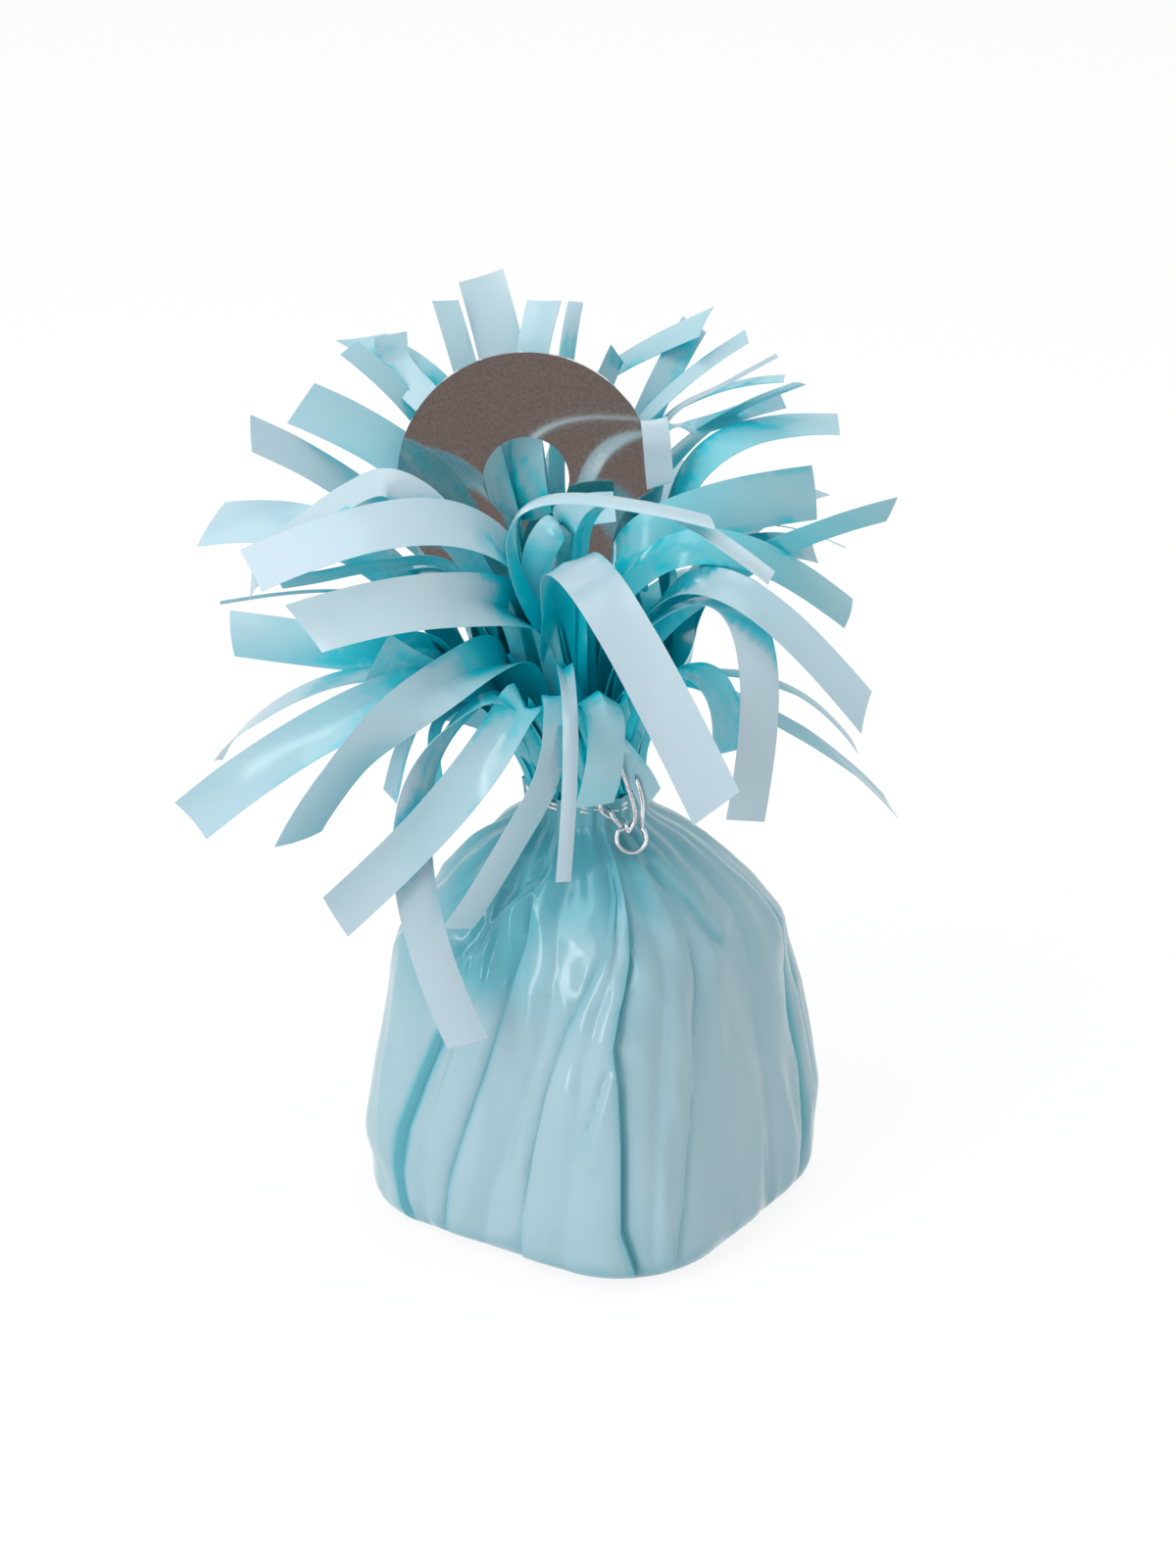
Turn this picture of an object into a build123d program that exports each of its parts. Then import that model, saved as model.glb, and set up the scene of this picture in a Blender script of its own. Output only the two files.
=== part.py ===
"""Balloon weight: a cast block wrapped in film, tied at the neck, with a cut fringe and a ribbon disc."""

import os
from math import cos, radians, sin, sqrt, tan

from build123d import *

os.makedirs("parts", exist_ok=True)

# cast block, in millimetres
block_width = 52.0
block_height = 42.0
block_corner = 14.0
block_edge = 4.0
block_crown = 7.0
# sides lean in by this many degrees, and one corner points this far round
block_taper = 8.0
block_turn = -33.0

# film sheets; the slack keeps the wrap clear of the block
film_thickness = 0.3
film_slack = 0.7
pleat_count = 24
pleat_depth = 0.9
# clearance between pieces that lie in or on one another
seat_gap = 0.3

# gather, neck and collar of the wrap
gather_height = 16.0
neck_radius = 7.4
neck_height = 4.0
neck_shift = -1.3
collar_height = 20.0
collar_radius = 16.2
collar_shift = -4.0

# fringe
strip_length = 45.0
strip_width = 5.8
strip_thickness = 0.25
root_width = 2.4
root_share = 0.35
twist_share = 0.7
strip_sections = 12

# ribbon disc and its tongue
disc_diameter = 34.4
disc_hole = 11.5
disc_thickness = 0.8
disc_lean = 4.0
disc_rise = 24.4
disc_shift = -5.2
disc_back = 1.5
tongue_width = 5.0
tongue_shift = -2.2

# twist tie
wire_diameter = 0.7
wire_pitch = 1.6
wire_turns = 2
tie_bearing = 300.0
tail_lean = 28.0
hook_radius = 2.4
web_thickness = 0.25
web_width = 3.4

# pleats are shallower low on the sides, at the neck and on the inner sheets
side_depth_share = 0.8
neck_depth_share = 0.6
sheet_depth_share = 0.4
neck_depth = pleat_depth * neck_depth_share
sheet_depth = pleat_depth * sheet_depth_share

# heights of the gathered top, from the floor up
block_top = film_thickness + block_height
neck_bottom = block_top + gather_height
neck_top = neck_bottom + neck_height
rim_height = neck_top + collar_height - neck_height / 2


def block_inset(height):
    """How far the tapered side stands in at a height above the foot of the block."""
    return height * tan(radians(block_taper))


def square_reach(half, corner, angle):
    """Distance from the middle to the edge of a rounded square, along an angle in degrees."""
    across = abs(cos(radians(angle)))
    up = abs(sin(radians(angle)))
    flat = half - corner
    long_side = max(across, up)
    short_side = min(across, up)
    side_reach = half / long_side
    if side_reach * short_side <= flat:
        return side_reach
    middle = flat * (across + up)
    return middle + sqrt(corner**2 - flat**2 * (across - up) ** 2)


# each level of a wrap: height, half side, corner radius, share of the square form, pleat depth and sideways shift
block_half = block_width / 2 + film_slack
block_round = block_corner + film_slack
shoulder_height = block_height - block_crown
shoulder_half = block_half - block_inset(shoulder_height)
shoulder_round = block_round - block_inset(shoulder_height)

# foot levels: shares of the edge radius for the height and for the inset, then of the pleat depth
foot_shares = [(0.0, 0.55, 0.2), (0.45, 0.06, 0.5)]
# crown levels: shares of the crown radius for the height and for the inset, then of the pleat depth
crown_shares = [(0.4, 0.03, 1.1), (0.75, 0.2, 1.2)]
# gather levels: shares of the way up, of the radius left above the neck, of the square form, of the pleat depth
gather_shares = [(0.16, 0.80, 0.7, 1.3), (0.42, 0.54, 0.5, 1.4), (0.74, 0.23, 0.2, 1.2)]
# collar levels: shares of the height and of the flare, then of the pleat depth
collar_shares = [(0.30, 0.14, 0.7), (0.65, 0.48, 0.7), (1.0, 1.0, 0.5)]

wrap_levels = []
for height_share, inset_share, depth_share in foot_shares:
    foot_inset = block_edge * inset_share
    wrap_levels.append(
        (
            block_edge * height_share,
            block_half - foot_inset,
            block_round - foot_inset,
            1.0,
            pleat_depth * depth_share,
            0.0,
        )
    )
side_depth = pleat_depth * side_depth_share
wrap_levels.append((film_thickness + block_edge, block_half, block_round, 1.0, side_depth, 0.0))
wrap_levels.append((film_thickness + shoulder_height, shoulder_half, shoulder_round, 1.0, pleat_depth, 0.0))
for height_share, inset_share, depth_share in crown_shares:
    crown_inset = block_inset(block_crown * height_share) + block_crown * inset_share
    wrap_levels.append(
        (
            film_thickness + shoulder_height + block_crown * height_share,
            shoulder_half - crown_inset,
            shoulder_round - crown_inset,
            1.0,
            pleat_depth * depth_share,
            0.0,
        )
    )
for height_share, radius_share, square_share, depth_share in gather_shares:
    gather_half = neck_radius + (shoulder_half - neck_radius) * radius_share
    wrap_levels.append(
        (
            block_top + gather_height * height_share,
            gather_half,
            gather_half * shoulder_round / shoulder_half,
            square_share,
            pleat_depth * depth_share,
            neck_shift * height_share,
        )
    )
wrap_levels.append((neck_bottom, neck_radius, neck_radius, 0.0, neck_depth, neck_shift))
wrap_levels.append((neck_top, neck_radius, neck_radius, 0.0, neck_depth, neck_shift))
for height_share, flare_share, depth_share in collar_shares:
    collar_half = neck_radius + (collar_radius - neck_radius) * flare_share
    wrap_levels.append(
        (
            neck_top + (rim_height - neck_top) * height_share,
            collar_half,
            collar_half,
            0.0,
            pleat_depth * depth_share,
            neck_shift + (collar_shift - neck_shift) * height_share,
        )
    )


def pleat_line(level, count, inset, turn):
    """Draws one creased outline, from valley over ridge to valley, drawn in by the inset."""
    height, half, corner, square_share, depth, shift = level
    step = 360.0 / count
    points = []
    for half_step in range(2 * count):
        angle = turn + 45.0 + step / 2 * (half_step - 1)
        outline = square_reach(half, corner, angle - turn) * square_share + half * (1.0 - square_share)
        reach = outline - inset + depth * (half_step % 2)
        points.append((shift + reach * cos(radians(angle)), reach * sin(radians(angle))))
    Polyline(*points, close=True)


# the weight itself
with BuildPart() as weight_block:
    with BuildSketch(Plane.XY.offset(film_thickness)):
        RectangleRounded(block_width, block_width, block_corner, rotation=block_turn)
    extrude(amount=block_height, taper=block_taper)
    fillet(weight_block.faces().sort_by(Axis.Z)[-1].edges(), radius=block_crown)
    fillet(weight_block.faces().sort_by(Axis.Z)[0].edges(), radius=block_edge)
weight_block.part.label = "weight_block"
export_step(weight_block.part, "parts/weight_block.step")

# outer sheet: floor, pleated sides, gather, neck and flared collar in one skin
with BuildPart() as outer_film:
    for level in wrap_levels:
        with BuildSketch(Plane.XY.offset(level[0])):
            with BuildLine():
                pleat_line(level, pleat_count, 0.0, block_turn)
            make_face()
    loft(ruled=True)
    for number, level in enumerate(wrap_levels):
        lift = film_thickness if number == 0 else 0.0
        with BuildSketch(Plane.XY.offset(level[0] + lift)):
            with BuildLine():
                pleat_line(level, pleat_count, film_thickness, block_turn)
            make_face()
    loft(ruled=True, mode=Mode.SUBTRACT)
outer_film.part.label = "outer_film"
export_step(outer_film.part, "parts/outer_film.step")

# sheet rims: shares of the collar radius, and steps above the outer rim as shares of the collar height
ring_shares = [(1.04, 0.0), (0.70, 0.15), (0.38, 0.30)]
rings = []
for radius_share, step_share in ring_shares:
    rings.append((collar_radius * radius_share, rim_height + collar_height * step_share))

# inner sheets stand in the neck and reach a share of the gather down below it
sheet_pleats = 16
bunch_share = 0.3
middle_radius = neck_radius - film_thickness - seat_gap - sheet_depth
inner_radius = middle_radius - film_thickness - seat_gap - sheet_depth
bunch_bottom = neck_bottom - gather_height * bunch_share
# funnel levels: shares of the height above the neck and of the flare
funnel_shares = [(0.35, 0.12), (0.7, 0.5), (1.0, 1.0)]


def sheet_levels(radius, rim_radius, rim):
    """Levels of an inner sheet from its bunched end below the tie to its rim."""
    levels = [(bunch_bottom, radius, radius, 0.0, sheet_depth, neck_shift)]
    levels.append((neck_top, radius, radius, 0.0, sheet_depth, neck_shift))
    for height_share, flare_share in funnel_shares:
        reach = radius + (rim_radius - radius) * flare_share
        shift = neck_shift + (collar_shift - neck_shift) * height_share
        levels.append((neck_top + (rim - neck_top) * height_share, reach, reach, 0.0, sheet_depth, shift))
    return levels


# second sheet: an open funnel inside the collar
with BuildPart() as middle_film:
    for level in sheet_levels(middle_radius, *rings[1]):
        with BuildSketch(Plane.XY.offset(level[0])):
            with BuildLine():
                pleat_line(level, sheet_pleats, 0.0, 0.0)
            make_face()
    loft(ruled=True)
    for level in sheet_levels(middle_radius, *rings[1]):
        with BuildSketch(Plane.XY.offset(level[0])):
            with BuildLine():
                pleat_line(level, sheet_pleats, film_thickness, 0.0)
            make_face()
    loft(ruled=True, mode=Mode.SUBTRACT)
middle_film.part.label = "middle_film"
export_step(middle_film.part, "parts/middle_film.step")

# ribbon disc: it leans back a little and its tongue goes down into the bunched film
disc_middle = Vector(collar_shift + disc_shift, disc_back, rim_height + disc_rise)
disc_normal = Vector(0.0, -cos(radians(disc_lean)), sin(radians(disc_lean)))
disc_plane = Plane(origin=disc_middle, x_dir=(1, 0, 0), z_dir=disc_normal)
tongue_drop = (disc_middle.Z - bunch_bottom) / cos(radians(disc_lean))
tongue_foot = neck_shift + tongue_shift - disc_middle.X
tongue_head_share = 0.8
tongue_head = disc_diameter / 2 * tongue_head_share


def tongue_outline(margin):
    """Tongue from inside the disc to the bottom of the bunch, wider all round by the margin."""
    half = tongue_width / 2 + margin
    Polyline(
        (-half, -tongue_head),
        (tongue_foot - half, -tongue_drop),
        (tongue_foot + half, -tongue_drop),
        (half, -tongue_head),
        close=True,
    )


with BuildPart() as ribbon_disc:
    with BuildSketch(disc_plane):
        Circle(disc_diameter / 2)
        with BuildLine():
            tongue_outline(0.0)
        make_face()
        Circle(disc_hole / 2, mode=Mode.SUBTRACT)
    extrude(amount=disc_thickness / 2, both=True)
ribbon_disc.part.label = "ribbon_disc"
export_step(ribbon_disc.part, "parts/ribbon_disc.step")

# third sheet: a bunch squeezed by the tie, with a slot for the tongue
with BuildPart() as inner_film:
    for level in sheet_levels(inner_radius, *rings[2]):
        with BuildSketch(Plane.XY.offset(level[0])):
            with BuildLine():
                pleat_line(level, sheet_pleats, 0.0, 0.0)
            make_face()
    loft(ruled=True)
    with BuildSketch(disc_plane):
        with BuildLine():
            tongue_outline(seat_gap)
        make_face()
    extrude(amount=disc_thickness / 2 + seat_gap, both=True, mode=Mode.SUBTRACT)
inner_film.part.label = "inner_film"
export_step(inner_film.part, "parts/inner_film.step")

# twist tie: two turns of wire round the neck, a straight tail and a hooked one
tie_radius = neck_radius + neck_depth + seat_gap + wire_diameter / 2
tie_low = (neck_bottom + neck_top) / 2 - wire_pitch * wire_turns / 2
tie_out = Vector(cos(radians(tie_bearing)), sin(radians(tie_bearing)), 0.0)
tie_along = Vector(-tie_out.Y, tie_out.X, 0.0)
tie_up = Vector(0.0, 0.0, 1.0)
tail_up = tie_up * cos(radians(tail_lean)) + tie_out * sin(radians(tail_lean))
tie_middle = Vector(neck_shift, 0.0, tie_low)


def turn_point(quarter):
    """A point of the winding, counted in quarter turns from the tails."""
    angle = radians(tie_bearing + 90.0 * quarter)
    rise = wire_pitch * quarter / 4
    return tie_middle + Vector(tie_radius * cos(angle), tie_radius * sin(angle), rise)


# tail shapes: shares of the hook radius along the neck and upwards
straight_tail_shares = [(-2.2, 5.2), (-2.1, 1.0), (-1.1, 0.0)]
hook_lead_share = 0.7
hook_end_share = 3.2
hook_turn = 100.0

tie_start = turn_point(0)
tie_finish = turn_point(4 * wire_turns)
tail_points = [tie_start + tie_along * hook_radius * a + tail_up * hook_radius * b for a, b in straight_tail_shares]
hook_start = tie_finish + tie_along * hook_radius * hook_lead_share
hook_middle = hook_start + tail_up * hook_radius
hook_half = radians(hook_turn / 2)
hook_full = radians(hook_turn)
hook_between = hook_middle + tie_along * hook_radius * sin(hook_half) - tail_up * hook_radius * cos(hook_half)
hook_finish = hook_middle + tie_along * hook_radius * sin(hook_full) - tail_up * hook_radius * cos(hook_full)
hook_way = tie_along * cos(hook_full) + tail_up * sin(hook_full)

with BuildPart() as tie_wire:
    with BuildLine() as tie_path:
        Line(tail_points[0], tail_points[1])
        TangentArc(tail_points[1], tail_points[2], tangent=tail_points[1] - tail_points[0])
        Line(tail_points[2], tie_start)
        for half_turn in range(2 * wire_turns):
            quarter = 2 * half_turn
            ThreePointArc(turn_point(quarter), turn_point(quarter + 1), turn_point(quarter + 2))
        Line(tie_finish, hook_start)
        ThreePointArc(hook_start, hook_between, hook_finish)
        Line(hook_finish, hook_finish + hook_way * hook_radius * hook_end_share)
    with BuildSketch(Plane(origin=tail_points[0], z_dir=tail_points[1] - tail_points[0])):
        Circle(wire_diameter / 2)
    sweep(path=tie_path.line)
tie_wire.part.label = "tie_wire"
export_step(tie_wire.part, "parts/tie_wire.step")

# least gap of the wire to itself, on points along its middle
wire_samples = 400
wire_middle = tie_path.wires()[0]
wire_points = [wire_middle.position_at(n / wire_samples) for n in range(wire_samples + 1)]
sample_step = wire_middle.length / wire_samples
nearby = int(tie_radius / sample_step)
wire_gap = min(
    (wire_points[a] - wire_points[b]).length
    for a in range(wire_samples + 1)
    for b in range(a + nearby, wire_samples + 1)
)
print("tie wire: least gap to itself", round(wire_gap - wire_diameter, 2), "mm")

# clear web of the tie, lying inside the hook
web_reach = hook_radius - wire_diameter / 2 - seat_gap / 2
web_start = 20.0
web_way = tie_along.cross(tail_up)
web_plane = Plane(origin=hook_middle - web_way * wire_diameter / 2, x_dir=tie_along, z_dir=web_way)
with BuildPart() as tie_web:
    with BuildSketch(web_plane):
        with BuildLine():
            web_outer = CenterArc((0, 0), web_reach, -90.0 - web_start, hook_turn + web_start)
            web_inner = CenterArc((0, 0), web_reach - web_thickness, -90.0 - web_start, hook_turn + web_start)
            Line(web_outer @ 0, web_inner @ 0)
            Line(web_outer @ 1, web_inner @ 1)
        make_face()
    extrude(amount=web_width)
tie_web.part.label = "tie_web"
export_step(tie_web.part, "parts/tie_web.step")

# fringe strips, by hand: sheet, root bearing, tip bearing and climb, shares of reach and bow,
# swing of the bow, share of the way to the knee, twist, share of the width
strip_shares = [
    (2, 150, 140, 65, 1.11, 0.05, -33, 0.51, -5, 0.60),
    (2, 102, 105, 76, 1.06, 0.12, -52, 0.52, 0, 0.95),
    (2, 29, 29, 55, 1.09, 0.20, -19, 0.34, 39, 0.32),
    (2, 1, 6, 33, 0.88, 0.30, 36, 0.21, 32, 1.25),
    (2, 326, 358, 9, 0.89, 0.50, 45, 0.23, 20, 0.84),
    (2, 291, 311, 27, 0.95, 0.44, 15, 0.40, -30, 0.51),
    (2, 264, 296, -8, 0.98, 0.41, 24, 0.05, 2, 1.23),
    (2, 240, 308, 42, 0.92, 0.44, 47, 0.45, -19, 0.60),
    (2, 221, 212, 16, 0.92, 0.22, -53, 0.56, -18, 1.25),
    (2, 192, 202, 22, 1.05, 0.36, -30, 0.35, -20, 1.15),
    (1, 162, 170, 43, 1.09, 0.17, 18, 0.32, -69, 1.10),
    (1, 137, 147, 52, 1.16, 0.18, 6, 0.45, -9, 1.08),
    (1, 116, 124, 67, 1.16, 0.13, -14, 0.40, -10, 1.09),
    (1, 98, 106, 34, 1.00, 0.08, 0, 0.50, 0, 1.00),
    (1, 85, 85, 66, 1.06, 0.09, -36, 0.56, -16, 0.62),
    (1, 76, 72, 62, 0.93, 0.10, -31, 0.62, -70, 0.80),
    (1, 59, 29, 64, 1.08, 0.54, -80, 0.19, 56, 0.87),
    (1, 40, 18, 49, 1.05, 0.31, -37, 0.53, 25, 0.36),
    (1, 23, 5, 50, 1.07, 0.28, -46, 0.24, 6, 0.90),
    (1, 357, 0, 26, 1.06, 0.21, 60, 0.62, 45, 0.58),
    (1, 338, 329, 1, 1.02, 0.42, 19, 0.36, 15, 0.85),
    (1, 318, 310, -19, 0.86, 0.60, -27, 0.20, 24, 0.95),
    (1, 268, 270, -26, 0.90, 0.22, 0, 0.40, 0, 0.35),
    (1, 230, 213, -24, 1.01, 0.23, -58, 0.59, -69, 1.13),
    (0, 148, 159, 52, 1.12, 0.17, 20, 0.40, -55, 0.50),
    (0, 164, 179, 38, 1.15, 0.14, 25, 0.30, -48, 0.90),
    (0, 180, 179, 21, 1.13, 0.26, -24, 0.47, -20, 1.15),
    (0, 193, 177, 2, 1.02, 0.03, -99, 0.50, 3, 1.15),
    (0, 208, 184, -18, 1.08, 0.16, -24, 0.62, -9, 0.88),
    (0, 222, 197, -19, 1.24, 0.14, -64, 0.30, -14, 1.11),
    (0, 238, 247, -53, 1.22, 0.20, -120, 0.32, 80, 0.95),
    (0, 254, 225, -31, 1.10, 0.08, 85, 0.40, -40, 1.05),
    (0, 268, 244, -40, 0.94, 0.12, 150, 0.30, 0, 0.80),
    (0, 284, 280, -30, 0.58, 0.30, 180, 0.30, 0, 0.90),
    (0, 300, 316, -12, 0.66, 0.45, 10, 0.50, 60, 0.70),
    (0, 316, 342, -12, 0.92, 0.20, 30, 0.50, 0, 0.35),
    (0, 332, 354, -24, 1.10, 0.05, 60, 0.50, 0, 0.50),
    (0, 3, 2, 22, 0.90, 0.39, -33, 0.43, 6, 0.60),
    (0, 16, 8, 41, 1.09, 0.34, 5, 0.57, 10, 1.22),
    (0, 32, 36, 18, 1.00, 0.14, 0, 0.50, 0, 1.00),
    (0, 48, 50, -8, 1.05, 0.20, 0, 0.50, 0, 1.00),
    (0, 64, 68, 16, 1.00, 0.14, 0, 0.50, 0, 1.00),
    (0, 82, 86, -10, 1.05, 0.20, 0, 0.50, 0, 1.00),
    (0, 98, 104, 14, 1.00, 0.14, 0, 0.50, 0, 1.00),
    (0, 116, 122, -6, 1.05, 0.20, 0, 0.50, 0, 1.00),
    (0, 132, 140, 18, 1.00, 0.14, 0, 0.50, 0, 1.00),
    (0, 346, 14, 18, 0.81, 0.34, 8, 0.48, 37, 0.76),
    (2, 60, 46, 58, 1.06, 0.08, 11, 0.51, 20, 0.67),
]

fringe_middle = Vector(collar_shift, 0.0, rim_height)
for number, strip in enumerate(strip_shares, start=1):
    sheet, seat, bearing, climb, reach_share, bow_share, swing, knee_share, twist, width_share = strip
    ring_radius, ring_height = rings[sheet]
    outward = Vector(cos(radians(bearing)), sin(radians(bearing)), 0.0)
    tip_way = outward * cos(radians(climb)) + Vector(0.0, 0.0, sin(radians(climb)))
    tip = fringe_middle + tip_way * strip_length * reach_share
    root = Vector(
        collar_shift + ring_radius * cos(radians(seat)),
        ring_radius * sin(radians(seat)),
        ring_height,
    )
    # the bow rises up and inwards, and swings round the line from root to tip
    chord = (tip - root).normalized()
    rising = Vector(0.0, 0.0, 1.0) - outward
    rising = (rising - chord * rising.dot(chord)).normalized()
    bow_way = rising * cos(radians(swing)) + chord.cross(rising) * sin(radians(swing))
    across = chord.cross(bow_way)
    root = root + Vector(0.0, 0.0, seat_gap + strip_thickness / 2 + root_width / 2 * abs(across.Z))
    span = tip - root
    knee = root + span * knee_share + bow_way * span.length * bow_share * 2
    full_width = strip_width * width_share
    narrow_width = min(root_width, full_width)
    with BuildPart() as fringe_strip:
        for section in range(strip_sections + 1):
            way = section / strip_sections
            middle = root * (1 - way) ** 2 + knee * 2 * way * (1 - way) + tip * way**2
            heading = ((knee - root) * (1 - way) + (tip - knee) * way).normalized()
            turned = min(1.0, way / twist_share)
            turned = radians(twist) * turned**2 * (3 - 2 * turned)
            width_way = across * cos(turned) + heading.cross(across) * sin(turned)
            width = narrow_width + (full_width - narrow_width) * min(1.0, way / root_share)
            with BuildSketch(Plane(origin=middle, x_dir=width_way, z_dir=heading)):
                Rectangle(width, strip_thickness)
        loft()
    strip_name = f"fringe_strip_{number:02d}"
    fringe_strip.part.label = strip_name
    export_step(fringe_strip.part, f"parts/{strip_name}.step")
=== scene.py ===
"""Dresses the balloon weight: film wrap, collar, cut fringe, twist tie and mirror disc, in a white studio."""

import logging
import math
from dataclasses import dataclass
from enum import Enum

import bpy
import numpy as np
from bpy.types import Material, NodeSocket, NodeTree
from bpy.types import Object as Piece
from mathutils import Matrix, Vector, noise
from mathutils.bvhtree import BVHTree


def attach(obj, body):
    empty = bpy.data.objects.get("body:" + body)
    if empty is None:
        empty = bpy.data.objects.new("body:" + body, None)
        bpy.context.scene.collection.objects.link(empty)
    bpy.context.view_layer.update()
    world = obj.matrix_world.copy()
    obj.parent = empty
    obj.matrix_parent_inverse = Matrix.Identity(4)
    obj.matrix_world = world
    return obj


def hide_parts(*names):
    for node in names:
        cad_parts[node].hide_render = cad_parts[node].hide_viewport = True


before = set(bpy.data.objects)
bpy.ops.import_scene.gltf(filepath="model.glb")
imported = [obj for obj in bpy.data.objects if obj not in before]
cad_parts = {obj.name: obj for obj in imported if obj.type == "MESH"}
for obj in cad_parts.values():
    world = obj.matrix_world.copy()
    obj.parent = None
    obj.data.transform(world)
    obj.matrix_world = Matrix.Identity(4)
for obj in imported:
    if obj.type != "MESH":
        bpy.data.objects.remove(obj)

log = logging.getLogger("balloon_weight")

Pair = tuple[float, float]
Triple = tuple[float, float, float]

# sizes in this file are millimetres; a mesh becomes metres when its points are set
MM = 0.001
BODY = "root"
# attribute of each vertex's colour depth: the film's own tone together with painted shade
TONE_AND_SHADE = "deep"
TINT = "tint"
# vertices closer than this are merged where a grid is rolled up
SEAM = 0.002
# rays cast from each vertex for the painted shade, where they start off the film, and the least cosine of a
# ray that counts
RAYS = 26
RAY_START = 0.25
RAY_LEAST = 0.08
# how much deeper the painted shade makes the colour where film closes it in
FRINGE_SHADE_GAIN = 0.95
WRAP_SHADE_GAIN = 0.45


def unit(vectors: np.ndarray) -> np.ndarray:
    """Vectors scaled to length one along the last axis."""
    return vectors / np.maximum(np.linalg.norm(vectors, axis=-1, keepdims=True), 1e-9)


def ease(share: np.ndarray) -> np.ndarray:
    """Smooth step of shares, clipped to 0 and 1."""
    share = np.clip(share, 0.0, 1.0)
    return share * share * (3.0 - 2.0 * share)


def climb(height: np.ndarray, band: Pair) -> np.ndarray:
    """Smooth step of heights, from 0 where the band starts to 1 where it ends."""
    return ease((height - band[0]) / (band[1] - band[0]))


def wrapped(angle: np.ndarray) -> np.ndarray:
    """Angles in radians, brought within half a turn of zero."""
    return np.angle(np.exp(1j * angle))


def tent(angle: np.ndarray, half_width: float) -> np.ndarray:
    """Height of a pleat: 1 on its ridge, at angle 0, and 0 from its half width on, both in radians."""
    return np.clip(1.0 - np.abs(wrapped(angle)) / half_width, 0.0, 1.0)


def flow(places: np.ndarray, knots: tuple[float, ...], values: tuple[float, ...]) -> np.ndarray:
    """Smooth curve through given knots that never overshoots them.

    Args:
        places: where the curve is read.
        knots: rising places of the given values.
        values: the curve's value at each knot.

    Returns:
        The curve's value at each place.
    """
    knot = np.asarray(knots, float)
    value = np.asarray(values, float)
    step = np.diff(knot)
    slope = np.diff(value) / step
    tangent = np.zeros_like(value)
    same_way = slope[:-1] * slope[1:] > 0.0
    inner = np.zeros_like(slope[:-1])
    inner[same_way] = 2.0 / (1.0 / slope[:-1][same_way] + 1.0 / slope[1:][same_way])
    tangent[1:-1] = inner
    tangent[0] = slope[0]
    tangent[-1] = slope[-1]
    index = np.clip(np.searchsorted(knot, places, side="right") - 1, 0, len(step) - 1)
    share = np.clip((places - knot[index]) / step[index], 0.0, 1.0)
    square = share * share
    cube = square * share
    return (
        value[index] * (2.0 * cube - 3.0 * square + 1.0)
        + tangent[index] * step[index] * (cube - 2.0 * square + share)
        + value[index + 1] * (3.0 * square - 2.0 * cube)
        + tangent[index + 1] * step[index] * (cube - square)
    )


def film_grid(name: str, columns: int, rows: int) -> Piece:
    """Adds a flat grid, one unit across, that is then shaped as a piece of film.

    Args:
        name: the piece's name.
        columns: divisions across.
        rows: divisions along.

    Returns:
        The new grid object.
    """
    bpy.ops.object.select_all(action="DESELECT")
    bpy.ops.mesh.primitive_grid_add(x_subdivisions=columns, y_subdivisions=rows, size=1.0)
    piece = bpy.context.active_object
    piece.name = name
    piece.data.name = name
    return piece


def grid_shares(piece: Piece) -> tuple[np.ndarray, np.ndarray]:
    """Shares across and along, from 0 to 1, of a new grid's vertices."""
    flat = np.empty(len(piece.data.vertices) * 3)
    piece.data.vertices.foreach_get("co", flat)
    shares = flat.reshape(-1, 3) + 0.5
    return shares[:, 0], shares[:, 1]


def row_of(along: np.ndarray, rows: int) -> np.ndarray:
    """Row of the grid that each vertex is in, from its share along."""
    return np.clip(np.rint(along * rows).astype(int), 0, rows)


def set_points(piece: Piece, points: np.ndarray) -> None:
    """Moves a piece's vertices to points given in millimetres."""
    piece.data.vertices.foreach_set("co", (points * MM).ravel())
    piece.data.update()


def paint(piece: Piece, name: str, values: np.ndarray) -> None:
    """Stores one number a vertex for the piece's finish to read."""
    layer = piece.data.attributes.new(name, "FLOAT", "POINT")
    layer.data.foreach_set("value", np.asarray(values, np.float32))


def make_active(piece: Piece) -> None:
    """Selects one piece and nothing else."""
    bpy.ops.object.select_all(action="DESELECT")
    piece.select_set(True)
    bpy.context.view_layer.objects.active = piece


def close_seam(piece: Piece) -> None:
    """Merges the vertices where a rolled grid meets itself."""
    make_active(piece)
    bpy.ops.object.mode_set(mode="EDIT")
    bpy.ops.mesh.select_all(action="SELECT")
    bpy.ops.mesh.remove_doubles(threshold=SEAM * MM)
    bpy.ops.object.mode_set(mode="OBJECT")


def thicken(piece: Piece, thickness: float, crease: float) -> None:
    """Gives a sheet its thickness and smooth faces with crisp cut edges.

    Args:
        piece: the sheet.
        thickness: in millimetres.
        crease: angle in degrees above which an edge stays sharp.
    """
    make_active(piece)
    wall = piece.modifiers.new("film", "SOLIDIFY")
    wall.thickness = thickness * MM
    wall.offset = 0.0
    bpy.ops.object.modifier_apply(modifier=wall.name)
    bpy.ops.object.shade_smooth_by_angle(angle=math.radians(crease))


def finish_film(
    piece: Piece,
    points: np.ndarray,
    colour: tuple[np.ndarray, np.ndarray],
    wall: Pair,
    finish: Material,
    rolled: bool = False,
) -> Piece:
    """Shapes, colours and thickens a grid of film.

    Args:
        piece: the new grid.
        points: where its vertices go, in millimetres.
        colour: depth of its colour and share of violet at each vertex.
        wall: its thickness in millimetres, and the angle in degrees above which an edge stays sharp.
        finish: the film's material.
        rolled: whether the grid's sides meet.

    Returns:
        The finished piece.
    """
    set_points(piece, points)
    paint(piece, TONE_AND_SHADE, np.clip(colour[0], 0.0, 1.0))
    paint(piece, TINT, colour[1])
    if rolled:
        close_seam(piece)
    thicken(piece, *wall)
    piece.data.materials.append(finish)
    return piece


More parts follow.
